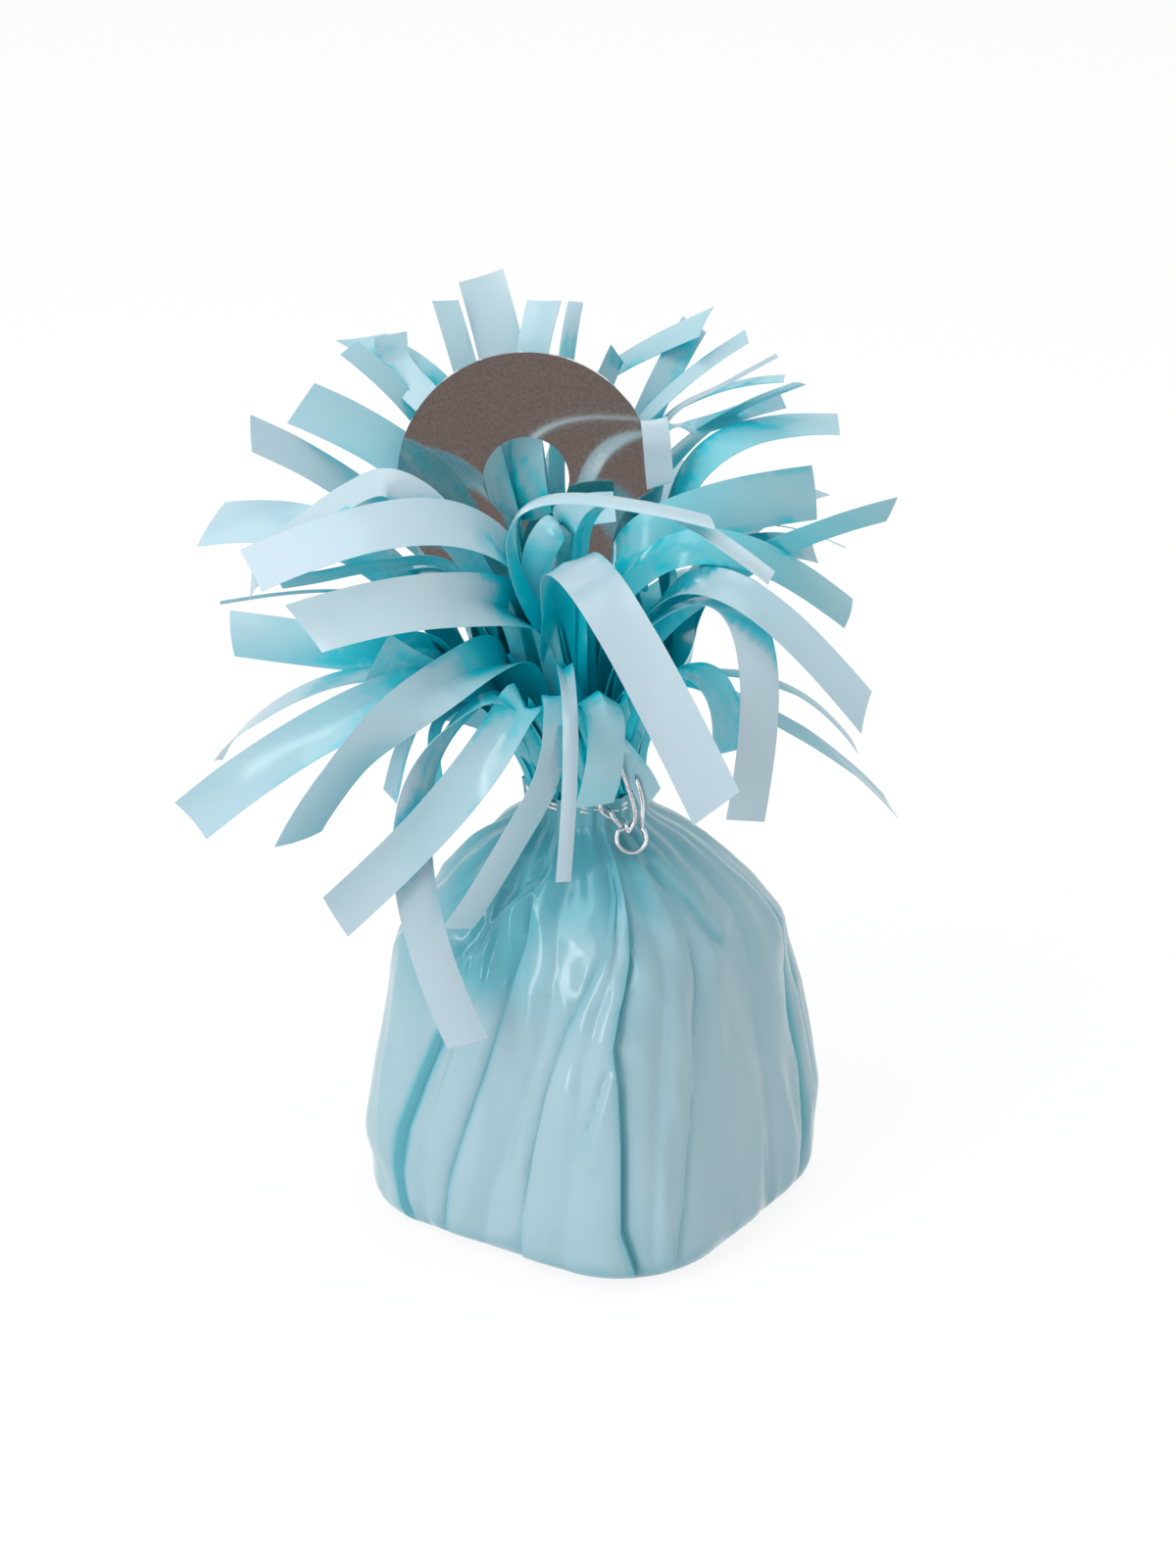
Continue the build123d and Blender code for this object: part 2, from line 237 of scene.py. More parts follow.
def smooth_line(marks: tuple[Triple, ...] | np.ndarray, count: int) -> np.ndarray:
    """Smooth curve through given points.

    Args:
        marks: the points, in millimetres.
        count: number of points wanted.

    Returns:
        The points along the curve.
    """
    line = np.array(marks)
    ends = np.concatenate([[2.0 * line[0] - line[1]], line, [2.0 * line[-1] - line[-2]]])
    place = np.linspace(0.0, len(line) - 1.0, count)
    index = np.minimum(place.astype(int), len(line) - 2)
    share = (place - index)[:, None]
    before, start, finish, after = (ends[index + step] for step in range(4))
    return 0.5 * (
        2.0 * start
        + (finish - before) * share
        + (2.0 * before - 5.0 * start + 4.0 * finish - after) * share**2
        + (3.0 * start - before - 3.0 * finish + after) * share**3
    )


def tube(name: str, line: np.ndarray, radius: float) -> Piece:
    """Models a round wire along a line, closed at both ends.

    Args:
        name: the piece's name.
        line: points along its middle, in millimetres.
        radius: in millimetres.

    Returns:
        The new piece.
    """
    rows = len(line) - 1
    piece = film_grid(name, 10, rows)
    around, along = grid_shares(piece)
    place = row_of(along, rows)
    heading = unit(np.gradient(line, axis=0))
    side = np.zeros_like(line)
    last = np.cross(heading[0], [0.3, 0.2, 0.9])
    for number, way in enumerate(heading):
        last = unit(last - way * (last @ way))
        side[number] = last
    other = np.cross(heading, side)
    angle = around * 2.0 * math.pi
    thick = np.where((place == 0) | (place == rows), 0.0, radius)
    ring = side[place] * np.cos(angle)[:, None] + other[place] * np.sin(angle)[:, None]
    set_points(piece, line[place] + ring * thick[:, None])
    close_seam(piece)
    bpy.ops.object.shade_smooth_by_angle(angle=math.radians(60.0))
    return piece


def new_material(name: str) -> Material:
    """Makes a plain node material."""
    material = bpy.data.materials.new(name)
    material.use_nodes = True
    return material


def fill(tree: NodeTree, node: bpy.types.Node, inputs: dict[str | int, object]) -> None:
    """Fills a node's inputs.

    Args:
        tree: the node's tree.
        node: the node.
        inputs: numbers, colours or other nodes' outputs, by the input's name or number.
    """
    for name, value in inputs.items():
        if isinstance(value, NodeSocket):
            tree.links.new(value, node.inputs[name])
        else:
            node.inputs[name].default_value = value


def add_node(
    tree: NodeTree, kind: str, inputs: dict[str | int, object], **options: object
) -> bpy.types.Node:
    """Adds a node to a tree.

    Args:
        tree: the tree of a material or of the world.
        kind: the node's type, without its ShaderNode prefix.
        inputs: numbers, colours or other nodes' outputs, by the input's name or number.
        options: the node's own settings.

    Returns:
        The new node.
    """
    node = tree.nodes.new(f"ShaderNode{kind}")
    for name, value in options.items():
        setattr(node, name, value)
    fill(tree, node, inputs)
    return node


def object_place(tree: NodeTree) -> NodeSocket:
    """The place on the piece, which every pattern reads."""
    return add_node(tree, "TexCoord", {}).outputs["Object"]


def ranged(tree: NodeTree, value: NodeSocket, wanted: Pair, given: Pair = (0.0, 1.0)) -> NodeSocket:
    """Maps a number from one range to another, clipped at its ends.

    Args:
        tree: the tree.
        value: the number.
        wanted: the range it is mapped to.
        given: the range it comes from.

    Returns:
        The mapped number.
    """
    ends = {"From Min": given[0], "From Max": given[1], "To Min": wanted[0], "To Max": wanted[1]}
    return add_node(tree, "MapRange", {"Value": value, **ends}).outputs["Result"]


def turbulence(points: np.ndarray, size: float, seed: float) -> np.ndarray:
    """Soft noise at points.

    Args:
        points: places in millimetres.
        size: size of one swell, in millimetres.
        seed: offset that picks another field.

    Returns:
        Values between about -1 and 1.
    """
    shift = Vector((seed, seed * 0.37, -seed * 0.71))
    return np.array([noise.noise(Vector(point) / size + shift) for point in points])


def crinkle(points: np.ndarray, size: float, seed: float) -> np.ndarray:
    """Sharp-ridged noise, as in crumpled film.

    Args:
        points: places in millimetres.
        size: size of one crumple, in millimetres.
        seed: offset that picks another field.

    Returns:
        Values up to 1, which they reach at the creases, and seldom below -1.
    """
    return 1.0 - np.abs(turbulence(points, size, seed)) * 2.0


def film_mesh(piece: Piece) -> tuple[np.ndarray, np.ndarray, list[tuple[int, ...]]]:
    """Points, normals and faces of a piece, in metres."""
    count = len(piece.data.vertices)
    points = np.empty(count * 3)
    normals = np.empty(count * 3)
    piece.data.vertices.foreach_get("co", points)
    piece.data.vertices.foreach_get("normal", normals)
    faces = [tuple(face.vertices) for face in piece.data.polygons]
    return points.reshape(-1, 3), normals.reshape(-1, 3), faces


def paint_shade_where_closed_in(shade_gains: dict[Piece, float], reach: float, floor: float, band: Pair) -> None:
    """Paints shade into the film's colour where other film closes it in, deepening it as light through
    several layers would.

    Args:
        shade_gains: the film pieces, all of which also block, and the full painted shade of each.
        reach: how far film blocks, in millimetres.
        floor: height below which nothing changes, in millimetres.
        band: closed-in shares where the change begins and is full.
    """
    meshes = [film_mesh(piece) for piece in shade_gains]
    points: list[np.ndarray] = []
    faces: list[tuple[int, ...]] = []
    first = 0
    for spots, _, corners_of in meshes:
        points.append(spots)
        faces.extend(tuple(corner + first for corner in face) for face in corners_of)
        first += len(spots)
    tree = BVHTree.FromPolygons(np.concatenate(points).tolist(), faces)
    rank = np.arange(RAYS) + 0.5
    up = 1.0 - 2.0 * rank / RAYS
    level = np.sqrt(1.0 - up * up)
    turn = math.pi * (1.0 + math.sqrt(5.0)) * rank
    ways = np.stack([level * np.cos(turn), level * np.sin(turn), up], axis=1)
    heads = [Vector(way) for way in ways]
    for (piece, gain), (spots, normals, _) in zip(shade_gains.items(), meshes):
        layer = piece.data.attributes[TONE_AND_SHADE]
        deep = np.empty(len(spots), np.float32)
        layer.data.foreach_get("value", deep)
        facing = normals @ ways.T
        starts = spots + normals * RAY_START * MM
        for number in np.flatnonzero(spots[:, 2] > floor * MM):
            open_to = np.flatnonzero(facing[number] > RAY_LEAST)
            start = Vector(starts[number])
            total = 0.0
            shut = 0.0
            for way in open_to:
                weight = facing[number, way]
                total += weight
                distance = tree.ray_cast(start, heads[way], reach * MM)[3]
                if distance is not None:
                    shut += weight * (1.0 - 0.5 * distance / (reach * MM))
            share = shut / max(total, 1e-6)
            rise = min(max((share - band[0]) / (band[1] - band[0]), 0.0), 1.0)
            # painted shade: the colour gets deeper the more the vertex is closed in
            deep[number] = min(deep[number] + gain * rise * rise * (3.0 - 2.0 * rise), 1.0)
        layer.data.foreach_set("value", deep)


class Side(Enum):
    """The side of a fold line on which the film lies on top."""

    RIGHT = 1
    BOTH = 0


@dataclass(frozen=True)
class Fold:
    """One fold of the wrap, drawn from its upper end down.

    Attributes:
        line: bearing in degrees and height of each point.
        side: the side that lies on top.
        lift: how far the top side stands off.
        spread: how fast the lift fades away from the line.
        groove: depth of the tuck beside the line.
        width: width of the tuck.
        shade: how deep the colour goes in the tuck.
    """

    line: tuple[Pair, ...]
    side: Side
    lift: float
    spread: float
    groove: float
    width: float
    shade: float


@dataclass(frozen=True)
class FilmFinish:
    """Thin pearly plastic film: pale where it lies open, with painted shade that turns it deep teal where it
    is bunched or faces down.
    """

    name: str = "pearl_film"
    pale: Triple = (0.51, 0.665, 0.735)
    violet: Triple = (0.52, 0.635, 0.745)
    # middle, teal and deepest are the colours of the painted shade; pale and violet are the film's own tones
    middle: Triple = (0.20, 0.60, 0.69)
    teal: Triple = (0.022, 0.61, 0.71)
    deepest: Triple = (0.001, 0.55, 0.66)
    # painted shade on faces that point down, and the heights of the normal over which it grows
    under: float = 0.34
    under_band: Pair = (0.05, -0.85)
    mottle: float = 0.10
    mottle_scale: float = 110.0
    middle_share: float = 0.33
    teal_share: float = 0.68
    gloss: Pair = (0.14, 0.27)
    crumple: float = 0.0
    crumple_scale: float = 85.0
    crumple_height: float = 0.0012

    def build(self) -> Material:
        """Makes the film's material.

        Returns:
            A node material that reads the deep attribute, which holds tone and painted shade, and the tint
            attribute.
        """
        material = new_material(self.name)
        tree = material.node_tree
        place = object_place(tree)
        drifts = {"Vector": place, "Scale": self.mottle_scale, "Detail": 3.0}
        cloud = add_node(tree, "TexNoise", drifts).outputs["Fac"]
        # painted shade: faces that point down get a deeper colour
        facing = add_node(tree, "NewGeometry", {}).outputs["Normal"]
        upward = add_node(tree, "SeparateXYZ", {"Vector": facing}).outputs["Z"]
        below = ranged(tree, upward, (0.0, self.under), self.under_band)
        sway = ranged(tree, cloud, (-self.mottle / 2.0, self.mottle / 2.0))
        deep = add_node(tree, "Attribute", {}, attribute_name=TONE_AND_SHADE).outputs["Fac"]
        total = add_node(tree, "Math", {0: deep, 1: below}).outputs["Value"]
        shaded = add_node(tree, "Math", {0: total, 1: sway}, use_clamp=True).outputs["Value"]
        ramp = add_node(tree, "ValToRGB", {"Fac": shaded})
        stops = ramp.color_ramp.elements
        stops[0].color = (*self.pale, 1.0)
        stops[1].color = (*self.deepest, 1.0)
        for share, colour in ((self.middle_share, self.middle), (self.teal_share, self.teal)):
            stop = stops.new(share)
            stop.color = (*colour, 1.0)
        tint = add_node(tree, "Attribute", {}, attribute_name=TINT).outputs["Fac"]
        tones = {0: tint, 6: ramp.outputs["Color"], 7: (*self.violet, 1.0)}
        tinted = add_node(tree, "Mix", tones, data_type="RGBA").outputs[2]
        look = {"Base Color": tinted, "Roughness": ranged(tree, cloud, self.gloss), "Specular IOR Level": 0.5}
        if self.crumple > 0.0:
            tall = add_node(tree, "Mapping", {"Vector": place, "Scale": (1.0, 1.0, 0.4)}).outputs["Vector"]
            cells = {"Vector": tall, "Scale": self.crumple_scale, "Detail": 2.0}
            pinch = add_node(tree, "TexNoise", cells, noise_type="RIDGED_MULTIFRACTAL").outputs["Fac"]
            relief = {"Height": pinch, "Strength": self.crumple, "Distance": self.crumple_height}
            look["Normal"] = add_node(tree, "Bump", relief).outputs["Normal"]
        fill(tree, tree.nodes["Principled BSDF"], look)
        return material


@dataclass(frozen=True)
class MirrorFinish:
    """Thin mirror card: warm grey metal with a fine grain and a few scratches."""

    name: str = "mirror_card"
    metal: Triple = (0.76, 0.74, 0.73)
    worn: Triple = (0.64, 0.62, 0.61)
    roughness: Pair = (0.05, 0.13)
    grain_scale: float = 2600.0
    grain_band: Pair = (0.36, 0.64)
    scratch_band: Pair = (0.66, 0.74)
    scratch_turn: float = 0.35
    scratch_scale: Triple = (60.0, 60.0, 2600.0)

    def build(self) -> Material:
        """Makes the mirror's material.

        Returns:
            A node material with grain in its colour and gloss.
        """
        material = new_material(self.name)
        tree = material.node_tree
        place = object_place(tree)
        specks = {"Vector": place, "Scale": self.grain_scale, "Detail": 2.0}
        grain = add_node(tree, "TexNoise", specks).outputs["Fac"]
        drawn = {"Vector": place, "Rotation": (0.0, self.scratch_turn, 0.0), "Scale": self.scratch_scale}
        stretched = add_node(tree, "Mapping", drawn).outputs["Vector"]
        lines = {"Vector": stretched, "Scale": 1.0, "Detail": 1.0}
        scratch = add_node(tree, "TexNoise", lines).outputs["Fac"]
        line = ranged(tree, scratch, (0.0, 1.0), self.scratch_band)
        speck = ranged(tree, grain, (0.0, 1.0), self.grain_band)
        tones = {0: speck, 6: (*self.worn, 1.0), 7: (*self.metal, 1.0)}
        colour = add_node(tree, "Mix", tones, data_type="RGBA").outputs[2]
        rough = add_node(tree, "Math", {0: grain, 1: line}, operation="MAXIMUM").outputs["Value"]
        dull = ranged(tree, rough, self.roughness)
        look = {"Base Color": colour, "Metallic": 1.0, "Roughness": dull}
        fill(tree, tree.nodes["Principled BSDF"], look)
        return material


@dataclass(frozen=True)
class WireFinish:
    """Bright wire with a fine drift in its tone."""

    name: str = "bright_wire"
    light: Triple = (0.80, 0.81, 0.83)
    dark: Triple = (0.55, 0.56, 0.58)
    roughness: float = 0.22

    def build(self) -> Material:
        """Makes the wire's material."""
        return mottled(self.name, self.light, self.dark, 900.0, self.roughness, 1.0)


@dataclass(frozen=True)
class PlasterFinish:
    """Cast plaster of the block, grey-white and matt."""

    name: str = "cast_plaster"
    light: Triple = (0.66, 0.64, 0.60)
    dark: Triple = (0.47, 0.45, 0.42)
    roughness: float = 0.85

    def build(self) -> Material:
        """Makes the plaster's material."""
        return mottled(self.name, self.light, self.dark, 160.0, self.roughness, 0.0)


def mottled(
    name: str, light: Triple, dark: Triple, scale: float, roughness: float, metallic: float
) -> Material:
    """Makes a material whose colour drifts between two tones, with a fine bump.

    Args:
        name: the material's name.
        light: the lighter tone.
        dark: the darker tone.
        scale: noise cells in a metre.
        roughness: surface roughness.
        metallic: 1 for metal.

    Returns:
        The node material.
    """
    material = new_material(name)
    tree = material.node_tree
    cells = {"Vector": object_place(tree), "Scale": scale, "Detail": 5.0}
    cloud = add_node(tree, "TexNoise", cells).outputs["Fac"]
    ramp = add_node(tree, "ValToRGB", {"Fac": cloud})
    for stop, share, tone in zip(ramp.color_ramp.elements, (0.3, 0.7), (dark, light)):
        stop.position = share
        stop.color = (*tone, 1.0)
    bump = add_node(tree, "Bump", {"Height": cloud, "Strength": 0.25, "Distance": 0.0004})
    look = {"Base Color": ramp.outputs["Color"], "Metallic": metallic, "Roughness": roughness}
    fill(tree, tree.nodes["Principled BSDF"], {**look, "Normal": bump.outputs["Normal"]})
    return material


@dataclass(frozen=True)
class ClearFinish:
    """Clear soft plastic of the tie's ribbon, faintly milky."""

    name: str = "clear_ribbon"
    colour: Triple = (0.80, 0.88, 0.90)
    clear: float = 0.6
    bending: float = 1.42
    roughness: Pair = (0.04, 0.18)

    def build(self) -> Material:
        """Makes the clear plastic's material.

        Returns:
            A node material that lets light through, with a faint drift in its gloss.
        """
        material = new_material(self.name)
        tree = material.node_tree
        cloud = add_node(tree, "TexNoise", {"Vector": object_place(tree), "Scale": 700.0}).outputs["Fac"]
        dull = ranged(tree, cloud, self.roughness)
        look = {"Base Color": (*self.colour, 1.0), "Transmission Weight": self.clear, "IOR": self.bending}
        fill(tree, tree.nodes["Principled BSDF"], {**look, "Roughness": dull})
        return material


@dataclass(frozen=True)
class Crease:
    """One crease of the wrap that runs from the underside to the tie, with a panel of film on each side.

    Attributes:
        line: bearing in degrees and height of each point, from the bottom up.
        left: how far the panel on its left stands off at the crease.
        right: how far the panel on its right stands off at the crease.
        shade: how deep the colour goes beside the step.
        top: height where the crease begins to fade.
        fade: height over which it fades.
        foot: height over which it begins.
    """

    line: tuple[Pair, ...]
    left: float
    right: float
    shade: float = 0.0
    top: float = 40.0
    fade: float = 7.0
    foot: float = 3.0

    def bearing(self, height: np.ndarray) -> np.ndarray:
        """Bearing in radians at each height."""
        places = np.array(self.line)
        return np.radians(np.interp(height, places[:, 1], places[:, 0]))


CREASES: tuple[Crease, ...] = (
    Crease(((22, 0), (20, 20), (24, 40), (26, 58)), 0.5, 1.6, 0.5),
    Crease(((44, 0), (48, 20), (44, 42), (46, 58)), 1.5, 0.4, 0.3),
    Crease(((70, 0), (66, 18), (70, 40), (66, 58)), 0.3, 1.6, 0.5),
    Crease(((92, 0), (95, 20), (90, 40), (88, 58)), 1.2, 0.5, 0.3),
    Crease(((118, 0), (114, 20), (118, 40), (112, 58)), 0.4, 1.8, 0.6),
    Crease(((140, 0), (143, 18), (138, 42), (140, 58)), 1.5, 0.3, 0.5),
    Crease(((164, 0), (160, 20), (164, 40), (166, 58)), 0.5, 1.5, 0.4),
    Crease(((186, 0), (188, 20), (184, 40), (188, 58)), 0.9, 0.9),
    Crease(
        ((211, 0), (208.6, 9), (209.2, 15.5), (211.8, 22), (215.8, 30.4), (217.5, 36), (220, 45), (224, 58)),
        1.25, 0.1, 0.95, 29.0,
    ),
    Crease(
        ((216, 0), (215.3, 7), (214.9, 16), (217, 24), (220, 32), (223, 42), (229, 58)),
        0.35, 0.35, 0.0, 27.0,
    ),
    Crease(
        ((220.5, 0), (220.4, 10), (221.5, 20), (224, 27), (228, 34), (230, 42), (236, 58)),
        1.3, 1.3, 0.0, 27.0,
    ),
    Crease(
        (
            (224, 0), (226.3, 10.7), (229.1, 17.8), (233.4, 25.8), (235.9, 30.8), (240.4, 38.5), (244, 46),
            (246, 58),
        ),
        0.15, 1.9, 0.6, 50.0,
    ),
    Crease(
        ((236, 0), (239.3, 10), (244.5, 18), (249, 25), (253, 32), (257, 40), (256, 50), (254, 58)),
        1.0, 1.0,
    ),
    Crease(
        (
            (250, 0), (250.6, 9.2), (252.8, 18.8), (255.4, 25.6), (258.3, 30.9), (262.3, 36.3), (268.4, 41.6),
            (275.3, 46.8), (281, 51.4), (284, 58),
        ),
        0.4, 2.1, 0.12, 50.0,
    ),
    Crease(
        ((262, 0), (263, 9), (264, 19), (266, 26), (267.5, 33), (271, 39), (278, 46.5), (283, 52), (286, 58)),
        1.6, 1.6, 0.0, 50.0,
    ),
    Crease(
        (
            (281, 0), (276.3, 8.8), (276.5, 21.2), (276.1, 29), (274.9, 34.8), (277.2, 39.8), (281.5, 44.9),
            (284.5, 49.1), (289, 58),
        ),
        1.9, 0.2, 0.5, 52.0,
    ),
    Crease(((284, 0), (284, 10), (286, 22), (288, 32), (291, 40), (294, 46), (298, 58)), 0.7, 0.7),
    Crease(
        ((289, 0), (290.9, 7.7), (295.8, 24), (300, 32.3), (306, 40), (307, 44), (306, 58)),
        1.1, 0.6, 0.15, 41.0,
    ),
    Crease(((330, 0), (332, 20), (335, 36), (338, 46), (336, 58)), 1.0, 1.0),
    Crease(
        (
            (346, 0), (349.3, 4.6), (352.3, 9), (352.6, 15), (354.8, 24.7), (357, 33.8), (361.6, 39.4),
            (360, 58),
        ),
        0.55, 0.1, 0.95, 38.0,
    ),
    Crease(((360, 0), (361, 10), (363, 20), (364, 30), (366, 38), (372, 58)), 0.5, 0.1, 0.8, 34.0),
    Crease(((371, 0), (371, 20), (374, 40), (377, 58)), 0.6, 0.9),
)


@dataclass
class Wrap:
    """The outer sheet: it goes under the block, up its sides in creased panels and into the tie.

    Attributes:
        turn: bearing of the block's first side, in degrees.
        heights: heights at which the next four are given.
        halves: half the width across the block's sides.
        corners: radius of the corners.
        squares: how square the outline is, from 0, round, to 1.
        shifts: how far the middle lies along x.
        puff: how far the film stands off between creases.
        step_gap: gap between two panels at a crease.
        slit: width of the shade beside a crease.
        pillow: how far a panel rounds out.
        floor_rows: share of the rows that lie under the block.
        way_knots: shares of the way up the sides, for way_heights.
        way_heights: heights there.
        swell: height and size of the soft swells.
        crumple: height and size of the small crumples.
        streak: height and size of the upright streaks.
        patch: size of the patches that the streaks come in.
        soft_foot: height over which swells, streaks and rounded panels begin.
        pillow_band: heights over which panels stop rounding out.
        gather_feet: lowest and highest foot of the gathers.
        gather_top: height where the gathers are full.
        gather_rise: least and greatest height of the gathers.
        crowded: bearing and spread, in radians, of the deepest gathers.
        tie_band: heights over which the tie presses the gathers flat.
        neck_band: heights over which the panels flatten.
        upper_band: heights over which the crumples grow.
        tight_band: heights over which the corners drawn tight come loose.
        tie_shade: heights over which the colour deepens towards the tie.
        pocket_shade: heights over which it deepens in the pocket.
        valley_shade: heights over which it deepens between the gathers.
        fringe_shade: heights over which it deepens under the fringe.
        plain: depth of the colour of open film.
        lit_bearing: bearing of the side that the light falls on, where the least shade is painted, in
            degrees.
        pocket: bearing in degrees and spread in radians of the pocket under the fringe, where deep shade is
            painted.
        tight: bearing in degrees of the two corners where the film is drawn tight at the foot.
    """

    turn: float = -33.0
    heights: tuple[float, ...] = (0.0, 0.5, 1.6, 4.3, 35.3, 40.0, 45.0, 49.0, 54.0, 58.3, 62.3)
    halves: tuple[float, ...] = (24.6, 25.6, 26.4, 26.7, 21.9, 20.9, 18.9, 16.2, 11.8, 7.4, 7.4)
    corners: tuple[float, ...] = (12.6, 13.6, 14.4, 14.7, 9.8, 9.3, 8.6, 7.3, 5.6, 7.4, 7.4)
    squares: tuple[float, ...] = (1.0, 1.0, 1.0, 1.0, 1.0, 0.95, 0.72, 0.5, 0.22, 0.0, 0.0)
    shifts: tuple[float, ...] = (0.0, 0.0, 0.0, 0.0, 0.0, -0.08, -0.2, -0.55, -0.96, -1.3, -1.3)
    puff: float = 0.8
    step_gap: float = 0.35
    slit: float = 0.75
    pillow: float = 0.95
    columns: int = 320
    rows: int = 140
    floor_rows: float = 0.07
    way_knots: tuple[float, ...] = (0.0, 0.03, 0.10, 0.55, 0.80, 1.0)
    way_heights: tuple[float, ...] = (0.0, 0.5, 4.3, 35.3, 49.0, 62.0)
    swell: Pair = (0.6, 9.0)
    crumple: Pair = (0.3, 7.5)
    streak: Pair = (0.55, 4.6)
    patch: float = 16.0
    soft_foot: float = 5.0
    pillow_band: Pair = (44.0, 56.0)
    gather_feet: Pair = (33.0, 49.0)
    gather_top: float = 54.0
    gather_rise: Pair = (0.7, 1.5)
    crowded: Pair = (4.1, 0.65)
    tie_band: Pair = (54.0, 58.5)
    neck_band: Pair = (50.0, 57.0)
    upper_band: Pair = (26.0, 46.0)
    tight_band: Pair = (5.0, 14.0)
    tie_shade: Pair = (47.0, 57.0)
    pocket_shade: Pair = (33.0, 41.0)
    valley_shade: Pair = (44.0, 52.0)
    fringe_shade: Pair = (30.0, 44.0)
    plain: float = 0.15
    lit_bearing: float = 55.0
    pocket: Pair = (228.0, 0.30)
    tight: float = 12.0
    thickness: float = 0.1
    pleats: int = 26
    seed: int = 11
    folds: tuple[Fold, ...] = (
        Fold(
            ((302, 56), (310.6, 52), (315.8, 49.4), (317, 46.6), (322.7, 42)),
            Side.BOTH, 1.4, 2.2, 1.6, 1.0, 0.45,
        ),
        Fold(
            ((262, 56), (241, 52), (230.3, 49), (224, 45.2), (215, 38.6)),
            Side.RIGHT, 1.5, 2.5, 0.8, 1.2, 0.7,
        ),
        Fold(((237, 57), (230, 52.7), (228, 47.8), (220, 41.7)), Side.BOTH, 0.8, 2.0, 1.0, 0.9, 0.4),
        Fold(((275, 33), (271.7, 28), (268.6, 22.7), (266.5, 17)), Side.RIGHT, 0.7, 1.6, 0.55, 0.6, 0.10),
    )

    def reach(self, angle: np.ndarray, height: np.ndarray) -> np.ndarray:
        """Distance from the middle to the film where it lies closest to the block.

        Args:
            angle: bearing in radians.
            height: height in millimetres.

        Returns:
            The distance in millimetres.
        """
        half = flow(height, self.heights, self.halves)
        corner = flow(height, self.heights, self.corners)
        square = flow(height, self.heights, self.squares)
        across = np.abs(np.cos(angle - math.radians(self.turn)))
        up = np.abs(np.sin(angle - math.radians(self.turn)))
        flat = half - corner
        side = half / np.maximum(across, up)
        bent = np.maximum(corner**2 - (flat * (across - up)) ** 2, 0.0)
        rounded = flat * (across + up) + np.sqrt(bent)
        on_side = side * np.minimum(across, up) <= flat
        return np.where(on_side, side, rounded) * square + half * (1.0 - square)

    def gathers(self, angle: np.ndarray, height: np.ndarray) -> tuple[np.ndarray, np.ndarray]:
        """Small pleats that fan out of the tie and die away down the shoulder.

        Args:
            angle: bearing in radians.
            height: height in millimetres.

        Returns:
            The lift of the film and how open each place is, from 0 in a pleat's valley to 1 on its ridge.
        """
        draw = np.random.default_rng(self.seed)
        step = 2.0 * math.pi / self.pleats
        lift = np.zeros_like(angle)
        ridge = np.zeros_like(angle)
        for number in range(self.pleats):
            bearing = step * (number + draw.uniform(-0.28, 0.28))
            lean = draw.uniform(-0.10, 0.10)
            foot = draw.uniform(*self.gather_feet)
            crowding = math.exp(-(((bearing - self.crowded[0]) / self.crowded[1]) ** 2))
            rise = draw.uniform(*self.gather_rise) * (0.6 + 0.8 * crowding)
            drift = lean * (58.0 - height) / 12.0
            peak = tent(angle - bearing - drift, step * draw.uniform(0.5, 0.68))
            strength = climb(height, (foot, self.gather_top))
            lift = np.maximum(lift, rise * peak * strength)
            ridge = np.maximum(ridge, peak * strength)
        near_tie = 1.0 - 0.45 * climb(height, self.tie_band)
        return lift * near_tie, ridge

    def fold_lift(self, fold: Fold, angle: np.ndarray, height: np.ndarray) -> tuple[np.ndarray, np.ndarray]:
        """Lift and shade that one listed fold adds.

        Args:
            fold: the fold.
            angle: bearing in radians.
            height: height in millimetres.

        Returns:
            The change of lift in millimetres and the shade added.
        """
        radius = self.reach(angle, height)
        nearest = np.full_like(angle, 1e9)
        signed = np.zeros_like(angle)
        along = np.zeros_like(angle)
        count = len(fold.line) - 1
        for number in range(count):
            start = fold.line[number]
            finish = fold.line[number + 1]
            offset = wrapped(angle - math.radians(start[0])) * radius
            drop = height - start[1]
            span_x = math.radians(finish[0] - start[0]) * radius
            span_y = finish[1] - start[1]
            length = span_x**2 + span_y**2
            share = np.clip((offset * span_x + drop * span_y) / length, 0.0, 1.0)
            apart_x = offset - span_x * share
            apart_y = drop - span_y * share
            distance = np.hypot(apart_x, apart_y)
            side = np.sign(span_x * drop - span_y * offset)
            closer = distance < nearest
            nearest = np.where(closer, distance, nearest)
            signed = np.where(closer, side * distance, signed)
            along = np.where(closer, (number + share) / count, along)
        ends = ease(along / 0.16) * ease((1.0 - along) / 0.10)
        on_top = np.exp(-np.abs(signed) / fold.spread)
        if fold.side is not Side.BOTH:
            on_top = on_top * ease(0.5 + signed * fold.side.value / 0.7)
        low = np.exp(-((signed + fold.side.value * fold.width * 0.6) / fold.width) ** 2)
        lift = (fold.lift * on_top - fold.groove * low) * ends
        return lift, fold.shade * low * ends

